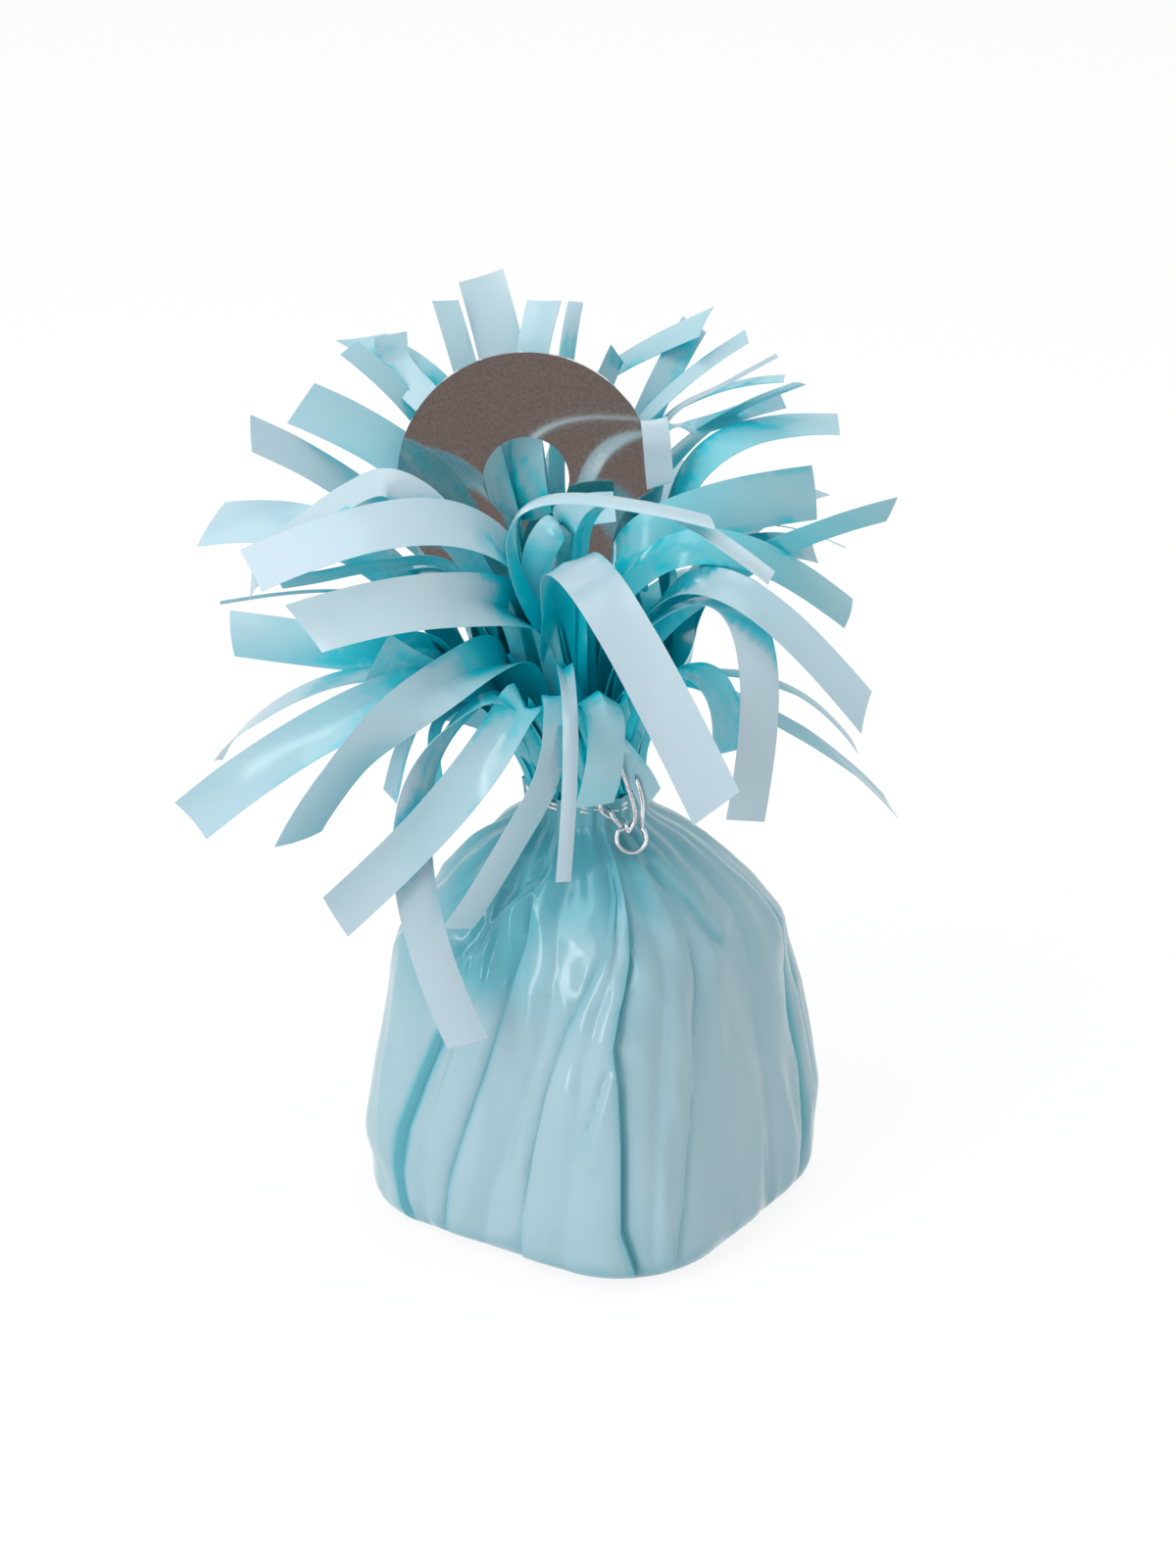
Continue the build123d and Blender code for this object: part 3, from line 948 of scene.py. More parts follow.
    def panels(self, column: np.ndarray, height: np.ndarray) -> tuple[np.ndarray, np.ndarray, np.ndarray]:
        """Lays the grid's columns between the creases.

        Args:
            column: each vertex's column.
            height: each vertex's height in millimetres.

        Returns:
            Bearing in radians, stand-off in millimetres and shade of each vertex.
        """
        count = len(CREASES)
        levels = np.linspace(0.0, 62.0, 32)
        lines = np.array([crease.bearing(levels) for crease in CREASES])
        widths = np.diff(np.concatenate([lines, lines[:1] + 2.0 * math.pi]), axis=0).mean(axis=1)
        spare = self.columns - 2 * count
        places = np.maximum(np.rint(widths / widths.sum() * spare).astype(int), 2)
        places[np.argmax(places)] += spare - places.sum()
        starts = np.concatenate([[0], np.cumsum(places + 2)])
        panel = np.clip(np.searchsorted(starts, column, side="right") - 1, 0, count)
        bearing = np.zeros_like(height)
        lift = np.zeros_like(height)
        shade = np.zeros_like(height)
        for number in range(count + 1):
            here = panel == number
            crease = CREASES[number % count]
            after = CREASES[(number + 1) % count]
            level = height[here]
            start = crease.bearing(level) + 2.0 * math.pi * (number // count)
            finish = after.bearing(level) + 2.0 * math.pi * ((number + 1) // count)
            share = (column[here] - starts[number]) / (places[number % count] + 1)
            radius = np.interp(level, self.heights, self.halves)
            gap = self.step_gap / 2.0 / radius
            bearing[here] = (start + gap) * (1.0 - share) + (finish - gap) * share
            begin = self.standoff(crease, crease.right, level)
            end = self.standoff(after, after.left, level)
            lift[here] = begin * (1.0 - share) + end * share
            from_start = (bearing[here] - start) * radius
            from_end = (finish - bearing[here]) * radius
            slit_start = self.slit * (1.0 if crease.right < crease.left else 0.7)
            slit_end = self.slit * (1.0 if after.left < after.right else 0.7)
            low_start = crease.shade * np.exp(-((from_start / slit_start) ** 2))
            low_end = after.shade * np.exp(-((from_end / slit_end) ** 2))
            wide = np.clip((finish - start) * radius / 9.0, 0.0, 1.0)
            round_over = 4.0 * share * (1.0 - share) * wide
            ends = ease(level / self.soft_foot) * (1.0 - climb(level, self.pillow_band))
            lift[here] += self.pillow * round_over * ends
            fade_start = self.strength(crease, level)
            fade_end = self.strength(after, level)
            shade[here] = np.maximum(low_start * fade_start, low_end * fade_end)
        return bearing, lift, shade

    @staticmethod
    def strength(crease: Crease, height: np.ndarray) -> np.ndarray:
        """Share of a crease's step at each height."""
        return ease(height / crease.foot) * (1.0 - ease((height - crease.top) / crease.fade))

    def standoff(self, crease: Crease, lift: float, height: np.ndarray) -> np.ndarray:
        """Stand-off beside a crease, which fades to the plain puff of the film."""
        plain = self.puff * ease(height / crease.foot)
        return plain + (lift - self.puff) * self.strength(crease, height)

    def crumples(self, rough: np.ndarray, height: np.ndarray) -> list[np.ndarray]:
        """Soft swells, small crumples and upright streaks of the film.

        Args:
            rough: each vertex's place on the block, drawn together in height.
            height: each vertex's height in millimetres.

        Returns:
            The lift of each kind in millimetres.
        """
        upper = climb(height, self.upper_band)
        upright = rough * np.array([1.0, 1.0, 0.22])
        streaks = self.streak[0] * crinkle(upright, self.streak[1], 2.6) * crinkle(rough, self.patch, 6.3)
        return [
            self.swell[0] * turbulence(rough, self.swell[1], 3.1) * ease(height / self.soft_foot),
            (self.crumple[0] + 0.1 * upper) * crinkle(rough, self.crumple[1], 8.2) * ease(height / 6.0),
            streaks * ease(height / self.soft_foot),
        ]

    def depth(
        self, angle: np.ndarray, height: np.ndarray, ridge: np.ndarray, shade: np.ndarray
    ) -> np.ndarray:
        """Painted shade in the film's colour: deeper beside folds, near the tie, in the pocket, between the
        gathers, under the fringe and on the side away from the light.

        Args:
            angle: bearing in radians.
            height: height in millimetres.
            ridge: how open the gathers are.
            shade: shade of the creases and folds.

        Returns:
            The depth at each vertex.
        """
        # painted shade: away runs from 0 on the lit side to 1 on the side away from the light
        away = 0.5 - 0.5 * np.cos(angle - math.radians(self.lit_bearing))
        pocket = np.exp(-((wrapped(angle - math.radians(self.pocket[0])) / self.pocket[1]) ** 2))
        near_tie = climb(height, self.tie_shade) * (0.15 + 0.5 * away**2)
        inside = 0.55 * pocket * climb(height, self.pocket_shade)
        valley = (1.0 - ridge) * climb(height, self.valley_shade) * (0.15 + 0.35 * away**2)
        plain = self.plain + 0.14 * away * climb(height, self.fringe_shade)
        return np.maximum(plain + shade * 0.8, plain + np.maximum(near_tie, inside) + valley)

    def build(self, finish: Material) -> Piece:
        """Models the wrap as one rolled sheet.

        Args:
            finish: the film's material.

        Returns:
            The finished piece.
        """
        piece = film_grid("film_wrap", self.columns, self.rows)
        around, along = grid_shares(piece)
        way = np.clip((along - self.floor_rows) / (1.0 - self.floor_rows), 0.0, 1.0)
        height = flow(way, self.way_knots, self.way_heights)
        inward = np.clip(along / self.floor_rows, 0.0, 1.0)
        angle, lift, shade = self.panels(np.rint(around * self.columns), height)
        shift = flow(height, self.heights, self.shifts)
        base = self.reach(angle, height)
        gather, ridge = self.gathers(angle, height)
        lift = lift * (1.0 - 0.6 * climb(height, self.neck_band)) + gather
        for fold in self.folds:
            fold_lift, fold_shade = self.fold_lift(fold, angle, height)
            lift = lift + fold_lift
            shade = np.maximum(shade, fold_shade)
        rough = np.stack([base * np.cos(angle), base * np.sin(angle), height * 0.55], axis=1)
        lift = sum(self.crumples(rough, height), lift)
        corner = np.abs(np.cos(angle - math.radians(self.tight)))
        drawn = ease((corner - 0.93) / 0.06) * (1.0 - climb(height, self.tight_band))
        lift = np.maximum(lift * (1.0 - 0.75 * drawn), 0.05 * ease(height / 2.0))
        reach = (base + lift) * inward
        points = np.stack([shift + reach * np.cos(angle), reach * np.sin(angle), height], axis=1)
        tint = 0.2 + 0.2 * turbulence(rough, 30.0, 5.5)
        colour = (self.depth(angle, height, ridge, shade), tint)
        return finish_film(piece, points, colour, (self.thickness, 50.0), finish, rolled=True)


@dataclass
class Funnel:
    """A gathered sheet that rises out of the tie and flares: the collar, or a sheet inside it.

    Attributes:
        name: the piece's name.
        sheet: the sheet it is part of, counted from the outside.
        foot: radius and height at the tie.
        rim: radius and height where the strips begin.
        pleats: number of its pleats.
        depth: depth of its pleats.
        deep: depth of its colour at the tie and at the rim, deeper at the tie as painted shade.
        cuts: smallest and largest depth of the cuts between strips, as shares of its height.
        flare: how much further it leans out on the left, where it is left uncut.
        seed: picks its irregularities.
        shift: how far its middle lies along x, at the tie and at the rim.
        uncut: bearing in degrees of the part left uncut, and its spread in degrees and in radians.
    """

    name: str
    sheet: int
    foot: Pair
    rim: Pair
    pleats: int
    depth: float
    deep: Pair
    cuts: Pair
    flare: float
    seed: int
    shift: Pair = (-1.3, -4.0)
    uncut: Triple = (204.0, 14.0, 0.42)
    columns: int = 200
    rows: int = 30
    thickness: float = 0.12

    def cut_down(self, angle: np.ndarray) -> np.ndarray:
        """Share of the sheet's height that is cut away at each bearing, between the strips' roots.

        Args:
            angle: bearing in radians, from 0 to a full turn.

        Returns:
            The share, 0 at each strip's root.
        """
        draw = np.random.default_rng(self.seed + 40)
        seats = sorted(math.radians(strip.seat) for strip in STRIPS if strip.sheet == self.sheet)
        edges = np.array([seats[-1] - 2.0 * math.pi, *seats, seats[0] + 2.0 * math.pi])
        depths = draw.uniform(*self.cuts, len(edges) - 1)
        depths[-1] = depths[0]
        gap = np.clip(np.searchsorted(edges, angle, side="right") - 1, 0, len(depths) - 1)
        share = (angle - edges[gap]) / (edges[gap + 1] - edges[gap])
        bearing = np.degrees(edges[gap] + edges[gap + 1]) / 2.0
        kept = 1.0 - 0.85 * np.exp(-((bearing - self.uncut[0]) / self.uncut[1]) ** 2)
        return depths[gap] * kept * (1.0 - np.abs(2.0 * share - 1.0)) ** 1.2

    def build(self, finish: Material) -> Piece:
        """Models the pleated funnel.

        Args:
            finish: the film's material.

        Returns:
            The finished piece.
        """
        draw = np.random.default_rng(self.seed)
        piece = film_grid(self.name, self.columns, self.rows)
        around, along = grid_shares(piece)
        angle = around * 2.0 * math.pi
        along = along * (1.0 - self.cut_down(angle))
        radius = flow(along, (0.0, 0.22, 0.45, 0.75, 1.0), (0.0, 0.03, 0.20, 0.60, 1.0))
        left = np.exp(-((wrapped(angle - math.radians(self.uncut[0])) / self.uncut[2]) ** 2))
        reach = self.foot[0] + (self.rim[0] - self.foot[0] + self.flare * left) * radius
        height = self.foot[1] + (self.rim[1] - self.foot[1]) * along
        lift = np.zeros_like(angle)
        step = 2.0 * math.pi / self.pleats
        for number in range(self.pleats):
            bearing = step * (number + draw.uniform(-0.3, 0.3))
            drift = draw.uniform(-0.16, 0.16) * along
            peak = tent(angle - bearing - drift, step * draw.uniform(0.45, 0.65))
            lift = np.maximum(lift, peak * draw.uniform(0.6, 1.3))
        swell = self.depth * (0.45 + 0.75 * ease(along / 0.6) - 0.35 * ease((along - 0.6) / 0.4))
        open_share = np.clip(lift, 0.0, 1.0)
        reach = reach + (lift - 0.35) * swell * (1.0 - 0.6 * left * along)
        middle = self.shift[0] + (self.shift[1] - self.shift[0]) * ease(along)
        points = np.stack([middle + reach * np.cos(angle), reach * np.sin(angle), height], axis=1)
        points = points + 0.3 * crinkle(points, 5.0, self.seed)[:, None] * unit(points - [0.0, 0.0, 70.0])
        # painted shade: deeper towards the tie and in the pleats' valleys, paler where the uncut part flares
        # open
        deep = self.deep[0] + (self.deep[1] - self.deep[0]) * along
        deep = deep + 0.3 * (0.6 - open_share) - 0.25 * left * along
        colour = (deep, np.zeros_like(deep))
        return finish_film(piece, points, colour, (self.thickness, 60.0), finish, rolled=True)


FUNNELS: tuple[Funnel, ...] = (
    Funnel(
        name="film_collar", sheet=0, foot=(7.3, 61.0), rim=(16.2, 80.4), pleats=24, depth=1.5,
        deep=(0.45, 0.15), cuts=(0.25, 0.6), flare=6.0, seed=5,
    ),
    Funnel(
        name="middle_sheet", sheet=1, foot=(5.4, 61.0), rim=(11.0, 83.4), pleats=18, depth=1.2,
        deep=(0.6, 0.3), cuts=(0.3, 0.6), flare=0.0, seed=6,
    ),
    Funnel(
        name="inner_sheet", sheet=2, foot=(3.2, 61.0), rim=(5.9, 86.4), pleats=12, depth=0.9,
        deep=(0.7, 0.4), cuts=(0.3, 0.6), flare=0.0, seed=8,
    ),
)


@dataclass(frozen=True)
class Strip:
    """One cut strip: where it is rooted, where its tip goes, how it bows, twists and is coloured.

    Attributes:
        sheet: the sheet it is cut from, counted from the outside.
        seat: bearing of its root, in degrees.
        bearing: bearing of its tip, in degrees.
        climb: climb of its tip from the fringe's middle, in degrees.
        reach: distance of its tip, as a share of the strip length.
        bow: height of its bow, as a share of its span.
        swing: turn of the bow about the span, in degrees.
        knee: place of the bow's crest, as a share of the span.
        twist: twist of the ribbon, in degrees.
        width: share of the strip width.
        deep: depth of its colour, from 0, pale, to 1, its tone together with painted shade.
        violet: share of violet in its tint.
        slant: slant of its cut end, as a share of its width.
    """

    sheet: int
    seat: float
    bearing: float
    climb: float
    reach: float
    bow: float
    swing: float
    knee: float
    twist: float
    width: float
    deep: float
    violet: float
    slant: float


STRIPS: tuple[Strip, ...] = (
    Strip(2, 150, 140, 65, 1.11, 0.05, -33, 0.51, -5, 0.60, 0.14, 0.1, -0.23),
    Strip(2, 102, 105, 76, 1.06, 0.12, -52, 0.52, 0, 0.95, 0.16, 0.0, 0.05),
    Strip(2, 29, 29, 55, 1.09, 0.20, -19, 0.34, 39, 0.32, 0.20, 0.2, -0.33),
    Strip(2, 1, 6, 33, 0.88, 0.30, 36, 0.21, 32, 1.25, 0.34, 0.0, -0.03),
    Strip(2, 326, 358, 9, 0.89, 0.50, 45, 0.23, 20, 0.84, 0.45, 0.0, -0.27),
    Strip(2, 291, 311, 27, 0.95, 0.44, 15, 0.40, -30, 0.51, 0.08, 0.2, 0.37),
    Strip(2, 264, 296, -8, 0.98, 0.41, 24, 0.05, 2, 1.23, 0.00, 0.5, 0.19),
    Strip(2, 240, 308, 42, 0.92, 0.44, 47, 0.45, -19, 0.60, 0.08, 0.2, 0.41),
    Strip(2, 221, 212, 16, 0.92, 0.22, -53, 0.56, -18, 1.25, 0.02, 0.0, 0.36),
    Strip(2, 192, 202, 22, 1.05, 0.36, -30, 0.35, -20, 1.15, 0.06, 0.7, 0.17),
    Strip(1, 162, 170, 43, 1.09, 0.17, 18, 0.32, -69, 1.10, 0.36, 0.3, -0.21),
    Strip(1, 137, 147, 52, 1.16, 0.18, 6, 0.45, -9, 1.08, 0.34, 0.1, -0.61),
    Strip(1, 116, 124, 67, 1.16, 0.13, -14, 0.40, -10, 1.09, 0.06, 0.2, 0.06),
    Strip(1, 98, 106, 34, 1.00, 0.08, 0, 0.50, 0, 1.00, 0.45, 0.0, 0.00),
    Strip(1, 85, 85, 66, 1.06, 0.09, -36, 0.56, -16, 0.62, 0.12, 0.1, -0.09),
    Strip(1, 76, 72, 62, 0.93, 0.10, -31, 0.62, -70, 0.80, 0.24, 0.0, 0.10),
    Strip(1, 59, 29, 64, 1.08, 0.54, -80, 0.19, 56, 0.87, 0.34, 0.0, -0.05),
    Strip(1, 40, 18, 49, 1.05, 0.31, -37, 0.53, 25, 0.36, 0.30, 0.1, 0.11),
    Strip(1, 23, 5, 50, 1.07, 0.28, -46, 0.24, 6, 0.90, 0.32, 0.2, 0.13),
    Strip(1, 357, 0, 26, 1.06, 0.21, 60, 0.62, 45, 0.58, 0.34, 0.1, -0.35),
    Strip(1, 338, 329, 1, 1.02, 0.42, 19, 0.36, 15, 0.85, 0.08, 0.2, 0.60),
    Strip(1, 318, 310, -19, 0.86, 0.60, -27, 0.20, 24, 0.95, 0.00, 0.4, 0.00),
    Strip(1, 268, 270, -26, 0.90, 0.22, 0, 0.40, 0, 0.35, 0.00, 0.4, 0.07),
    Strip(1, 230, 213, -24, 1.01, 0.23, -58, 0.59, -69, 1.13, 0.08, 0.6, 0.32),
    Strip(0, 148, 159, 52, 1.12, 0.17, 20, 0.40, -55, 0.50, 0.30, 0.2, -0.26),
    Strip(0, 164, 179, 38, 1.15, 0.14, 25, 0.30, -48, 0.90, 0.16, 0.5, 0.28),
    Strip(0, 180, 179, 21, 1.13, 0.26, -24, 0.47, -20, 1.15, 0.18, 0.5, -0.45),
    Strip(0, 193, 177, 2, 1.02, 0.03, -99, 0.50, 3, 1.15, 0.24, 0.2, 0.06),
    Strip(0, 208, 184, -18, 1.08, 0.16, -24, 0.62, -9, 0.88, 0.11, 0.5, 0.37),
    Strip(0, 222, 197, -19, 1.24, 0.14, -64, 0.30, -14, 1.11, 0.20, 0.4, 0.11),
    Strip(0, 238, 247, -53, 1.22, 0.20, -120, 0.32, 80, 0.95, 0.00, 0.7, 0.20),
    Strip(0, 254, 225, -31, 1.10, 0.08, 85, 0.40, -40, 1.05, 0.06, 0.2, 0.13),
    Strip(0, 268, 244, -40, 0.94, 0.12, 150, 0.30, 0, 0.80, 0.04, 0.4, 0.36),
    Strip(0, 284, 280, -30, 0.58, 0.30, 180, 0.30, 0, 0.90, 0.14, 0.0, 0.20),
    Strip(0, 300, 316, -12, 0.66, 0.45, 10, 0.50, 60, 0.70, 0.30, 0.0, 0.30),
    Strip(0, 316, 342, -12, 0.92, 0.20, 30, 0.50, 0, 0.35, 0.20, 0.3, 0.60),
    Strip(0, 332, 354, -24, 1.10, 0.05, 60, 0.50, 0, 0.50, 0.22, 0.4, 0.90),
    Strip(0, 3, 2, 22, 0.90, 0.39, -33, 0.43, 6, 0.60, 0.38, 0.0, 0.01),
    Strip(0, 16, 8, 41, 1.09, 0.34, 5, 0.57, 10, 1.22, 0.38, 0.1, -0.19),
    Strip(0, 32, 36, 18, 1.00, 0.14, 0, 0.50, 0, 1.00, 0.16, 0.2, 0.2),
    Strip(0, 48, 50, -8, 1.05, 0.20, 0, 0.50, 0, 1.00, 0.08, 0.3, 0.1),
    Strip(0, 64, 68, 16, 1.00, 0.14, 0, 0.50, 0, 1.00, 0.14, 0.1, 0.3),
    Strip(0, 82, 86, -10, 1.05, 0.20, 0, 0.50, 0, 1.00, 0.06, 0.4, 0.0),
    Strip(0, 98, 104, 14, 1.00, 0.14, 0, 0.50, 0, 1.00, 0.12, 0.2, 0.2),
    Strip(0, 116, 122, -6, 1.05, 0.20, 0, 0.50, 0, 1.00, 0.08, 0.3, 0.4),
    Strip(0, 132, 140, 18, 1.00, 0.14, 0, 0.50, 0, 1.00, 0.14, 0.2, 0.1),
    Strip(0, 346, 14, 18, 0.81, 0.34, 8, 0.48, 37, 0.76, 0.24, 0.2, -0.04),
    Strip(2, 60, 46, 58, 1.06, 0.08, 11, 0.51, 20, 0.67, 0.20, 0.1, -0.10),
)


class Ribbon:
    """A grid of film laid along a line, with the ways along, across and off it at each vertex."""

    def __init__(self, name: str, line: np.ndarray, sideways: np.ndarray, columns: int) -> None:
        """Lays the grid.

        Args:
            name: the piece's name.
            line: its middle line in millimetres, one point a row.
            sideways: the way across at each row.
            columns: divisions across.
        """
        rows = len(line) - 1
        self.piece = film_grid(name, columns, rows)
        across, self.along = grid_shares(self.piece)
        self.row = row_of(self.along, rows)
        self.off = across - 0.5
        heading = unit(np.gradient(line, axis=0))
        side = unit(sideways - heading * np.sum(sideways * heading, axis=1, keepdims=True))
        self.middle = line[self.row]
        self.heading = heading[self.row]
        self.side = side[self.row]
        self.normal = np.cross(heading, side)[self.row]

    def points(self, width: np.ndarray, lift: np.ndarray, slide: np.ndarray) -> np.ndarray:
        """Points of the shaped ribbon.

        Args:
            width: its full width at each vertex.
            lift: how far each vertex stands off the flat ribbon.
            slide: how far each vertex is pushed along.

        Returns:
            The points in millimetres.
        """
        across = self.side * (self.off * width)[:, None]
        return self.middle + across + self.normal * lift[:, None] + self.heading * slide[:, None]


def soften(rows: np.ndarray, joint: int, reach: int) -> None:
    """Smooths rows of numbers in place.

    Args:
        rows: the rows.
        joint: the row in the middle of what is smoothed.
        reach: how many rows are smoothed on each side.
    """
    first = joint - reach
    last = joint + reach
    for _ in range(10):
        beside = rows[first - 1 : last - 1] + 2.0 * rows[first:last] + rows[first + 1 : last + 1]
        rows[first:last] = beside / 4.0


@dataclass
class Fringe:
    """All the cut strips, each a ribbon that runs out of the tie and over the collar to its tip.

    Attributes:
        length: length that a strip's reach is a share of.
        width: width that a strip's width is a share of.
        root_width: width of the solid strip's root.
        gathered_width: largest width where a strip leaves its sheet.
        tie_width: width in the tie.
        root_share: share of the strip over which it reaches its full width.
        twist_share: share of the strip over which it twists.
        neck_height: height at which the strips come out of the tie.
        neck_shift: how far the neck's middle lies along x.
        collar_shift: how far the collar's middle lies along x.
        rings: radius and height of each sheet's rim.
        neck_radii: radius of each sheet in the tie.
        shank_rows: rows from the tie to the rim.
        strip_rows: rows from the rim to the tip.
        across: divisions across.
        cups: range of the hollow across a strip, as a share of its width.
        wave: height of the waves along a strip.
        waves: range of the number of waves.
        pleats: range of the pleat at a strip's root.
        bends: range of the places of its kinks.
        kinks: range of the steepness of its kinks.
        flutter: height of its unevenness.
        seed: picks the strips' irregularities.
    """

    length: float = 45.0
    width: float = 5.8
    root_width: float = 2.4
    gathered_width: float = 6.4
    tie_width: float = 2.2
    root_share: float = 0.35
    twist_share: float = 0.7
    thickness: float = 0.09
    neck_height: float = 62.0
    neck_shift: float = -1.3
    collar_shift: float = -4.0
    rings: tuple[Pair, ...] = ((16.85, 80.7), (11.34, 83.7), (6.16, 86.7))
    neck_radii: tuple[float, ...] = (7.9, 5.6, 3.6)
    shank_rows: int = 14
    strip_rows: int = 46
    across: int = 6
    cups: Pair = (-0.10, 0.10)
    wave: float = 0.25
    waves: Pair = (0.8, 1.7)
    pleats: Pair = (0.5, 0.9)
    bends: Pair = (0.45, 0.85)
    kinks: Pair = (-3.5, 3.5)
    flutter: float = 0.12
    seed: int = 23

    def path(self, strip: Strip) -> tuple[np.ndarray, np.ndarray, np.ndarray]:
        """Middle line of a strip from the tie to its tip, with its width direction and width.

        Args:
            strip: the strip.

        Returns:
            Points, unit directions across, and widths, one row each along the strip.
        """
        bearing = math.radians(strip.bearing)
        climb = math.radians(strip.climb)
        seat = math.radians(strip.seat)
        swing = math.radians(strip.swing)
        middle = np.array([self.collar_shift, 0.0, self.rings[0][1] - 0.4])
        outward = np.array([math.cos(bearing), math.sin(bearing), 0.0])
        rise = np.array([0.0, 0.0, 1.0])
        tip = middle + self.length * strip.reach * (outward * math.cos(climb) + rise * math.sin(climb))
        radius, height = self.rings[strip.sheet]
        radial = np.array([math.cos(seat), math.sin(seat), 0.0])
        root = np.array([self.collar_shift, 0.0, height]) + radius * radial
        chord = unit(tip - root)
        rising = rise - outward
        rising = unit(rising - chord * (rising @ chord))
        bow_way = rising * math.cos(swing) + np.cross(chord, rising) * math.sin(swing)
        across = np.cross(chord, bow_way)
        root = root + rise * self.root_width / 2.0 * abs(across[2])
        span = tip - root
        reach = np.linalg.norm(span)
        knee = root + span * strip.knee + bow_way * reach * strip.bow * 2.0
        way = np.linspace(0.0, 1.0, self.strip_rows)[:, None]
        free = root * (1.0 - way) ** 2 + knee * 2.0 * way * (1.0 - way) + tip * way**2
        heading = unit((knee - root) * (1.0 - way) + (tip - knee) * way)
        turned = math.radians(strip.twist) * ease(way / self.twist_share)
        free_across = across * np.cos(turned) + np.cross(heading, across) * np.sin(turned)
        full = self.width * strip.width
        narrow = min(self.gathered_width, full * 1.12)
        free_width = narrow + (full - narrow) * ease(way[:, 0] / self.root_share)
        climb_share = np.linspace(0.0, 1.0, self.shank_rows, endpoint=False)
        flare = climb_share**1.7
        stray = math.radians(strip.twist * 0.12 + strip.swing * 0.10)
        fan = seat + stray * (1.0 - climb_share) ** 2
        spokes = np.stack([np.cos(fan), np.sin(fan), np.zeros_like(fan)], axis=1)
        neck_radius = self.neck_radii[strip.sheet]
        reach_out = neck_radius + (radius + 0.25 - neck_radius) * flare
        shift = self.neck_shift + (self.collar_shift - self.neck_shift) * climb_share
        shank = spokes * reach_out[:, None]
        shank[:, 0] += shift
        shank[:, 2] = self.neck_height + (root[2] - self.neck_height) * climb_share
        tangent = np.cross(rise, spokes)
        if tangent[-1] @ free_across[0] < 0.0:
            tangent = -tangent
        shank_width = self.tie_width + (narrow - self.tie_width) * ease(climb_share)
        points = np.concatenate([shank, free])
        sideways = np.concatenate([tangent, free_across])
        widths = np.concatenate([shank_width, free_width])
        soften(points, self.shank_rows, 5)
        soften(sideways, self.shank_rows, 7)
        return points, unit(sideways), widths

    def build_strip(self, number: int, strip: Strip, finish: Material) -> Piece:
        """Models one strip.

        Args:
            number: the strip's number, from 1.
            strip: its course and colour.
            finish: the film's material.

        Returns:
            The finished piece.
        """
        draw = np.random.default_rng(self.seed + number)
        line, sideways, widths = self.path(strip)
        ribbon = Ribbon(f"strip_{number:02d}", line, sideways, self.across)
        off = ribbon.off
        width = widths[ribbon.row]
        free = np.clip((ribbon.row - self.shank_rows) / (len(line) - 1 - self.shank_rows), 0.0, 1.0)
        cup = draw.uniform(*self.cups) * width * (4.0 * off**2 - 0.5) * ease(free / 0.4)
        wave_phase = draw.uniform(0.0, 6.0)
        wave_count = draw.uniform(*self.waves)
        wave = self.wave * np.sin(wave_phase + free * wave_count * 2.0 * math.pi) * ease(free / 0.3)
        pleat = draw.choice([-1.0, 1.0]) * draw.uniform(*self.pleats)
        gather_fold = pleat * width * (np.abs(off) - 0.25) * (1.0 - ease(free / 0.45))
        bends = draw.uniform(*self.bends, 2)
        turns = draw.uniform(*self.kinks, 2)
        kink = sum(turn * np.maximum(free - bend - 0.25 * off, 0.0) for turn, bend in zip(turns, bends))
        cut = strip.slant * off * width * ease((free - 0.8) / 0.2)
        points = ribbon.points(width, cup + wave + gather_fold + kink, cut)
        points = points + self.flutter * ribbon.normal * turbulence(points, 7.0, number * 1.7)[:, None]
        # painted shade: deeper at the root among the gathered strips and paler towards the tip
        deep = strip.deep * (1.0 - 0.55 * ease((free - 0.55) / 0.45)) + 0.25 * (1.0 - ease(free / 0.3))
        colour = (deep, strip.violet * ease(free) * 0.6)
        return finish_film(ribbon.piece, points, colour, (self.thickness, 45.0), finish)

    def build(self, finish: Material) -> list[Piece]:
        """Models every strip.

        Args:
            finish: the film's material.

        Returns:
            The strips in their table's order.
        """
        return [self.build_strip(number, strip, finish) for number, strip in enumerate(STRIPS, start=1)]


@dataclass(frozen=True)
class LooseEnd:
    """A short or narrow end of film among the strips, drawn through given points.

    Attributes:
        name: the piece's name.
        sheet: the sheet it is cut from, counted from the outside.
        line: points from its root to its tip, in millimetres.
        across: width directions, spread evenly from its root to its tip.
        widths: width at its root and at its tip, in millimetres.
        deep: depth of its colour, its tone together with painted shade.
        slant: slant of its cut end, as a share of its width.
        violet: share of violet in its tint.
        rows_a_point: rows from one point to the next.
    """

    name: str
    sheet: int
    line: tuple[Triple, ...]
    across: tuple[Triple, ...]
    widths: Pair
    deep: float = 0.1
    slant: float = 0.0
    violet: float = 0.15
    thickness: float = 0.09
    rows_a_point: int = 12

    def build(self, finish: Material) -> Piece:
        """Models the end as a thin ribbon.

        Args:
            finish: the film's material.

        Returns:
            The finished piece.
        """
        rows = self.rows_a_point * (len(self.line) - 1)
        way = np.linspace(0.0, 1.0, rows + 1)
        marks = np.linspace(0.0, 1.0, len(self.across))
        sideways = np.stack([np.interp(way, marks, part) for part in np.array(self.across).T], axis=1)
        ribbon = Ribbon(self.name, smooth_line(self.line, rows + 1), sideways, 4)
        width = self.widths[0] + (self.widths[1] - self.widths[0]) * ease(ribbon.along / 0.6)
        lift = 0.18 * width * (np.abs(ribbon.off) - 0.25) * (1.0 - ease(ribbon.along / 0.7))
        slide = self.slant * ribbon.off * width * ease((ribbon.along - 0.8) / 0.2)
        points = ribbon.points(width, lift, slide)
        colour = (np.full(len(points), self.deep), np.full(len(points), self.violet))
        return finish_film(ribbon.piece, points, colour, (self.thickness, 45.0), finish)


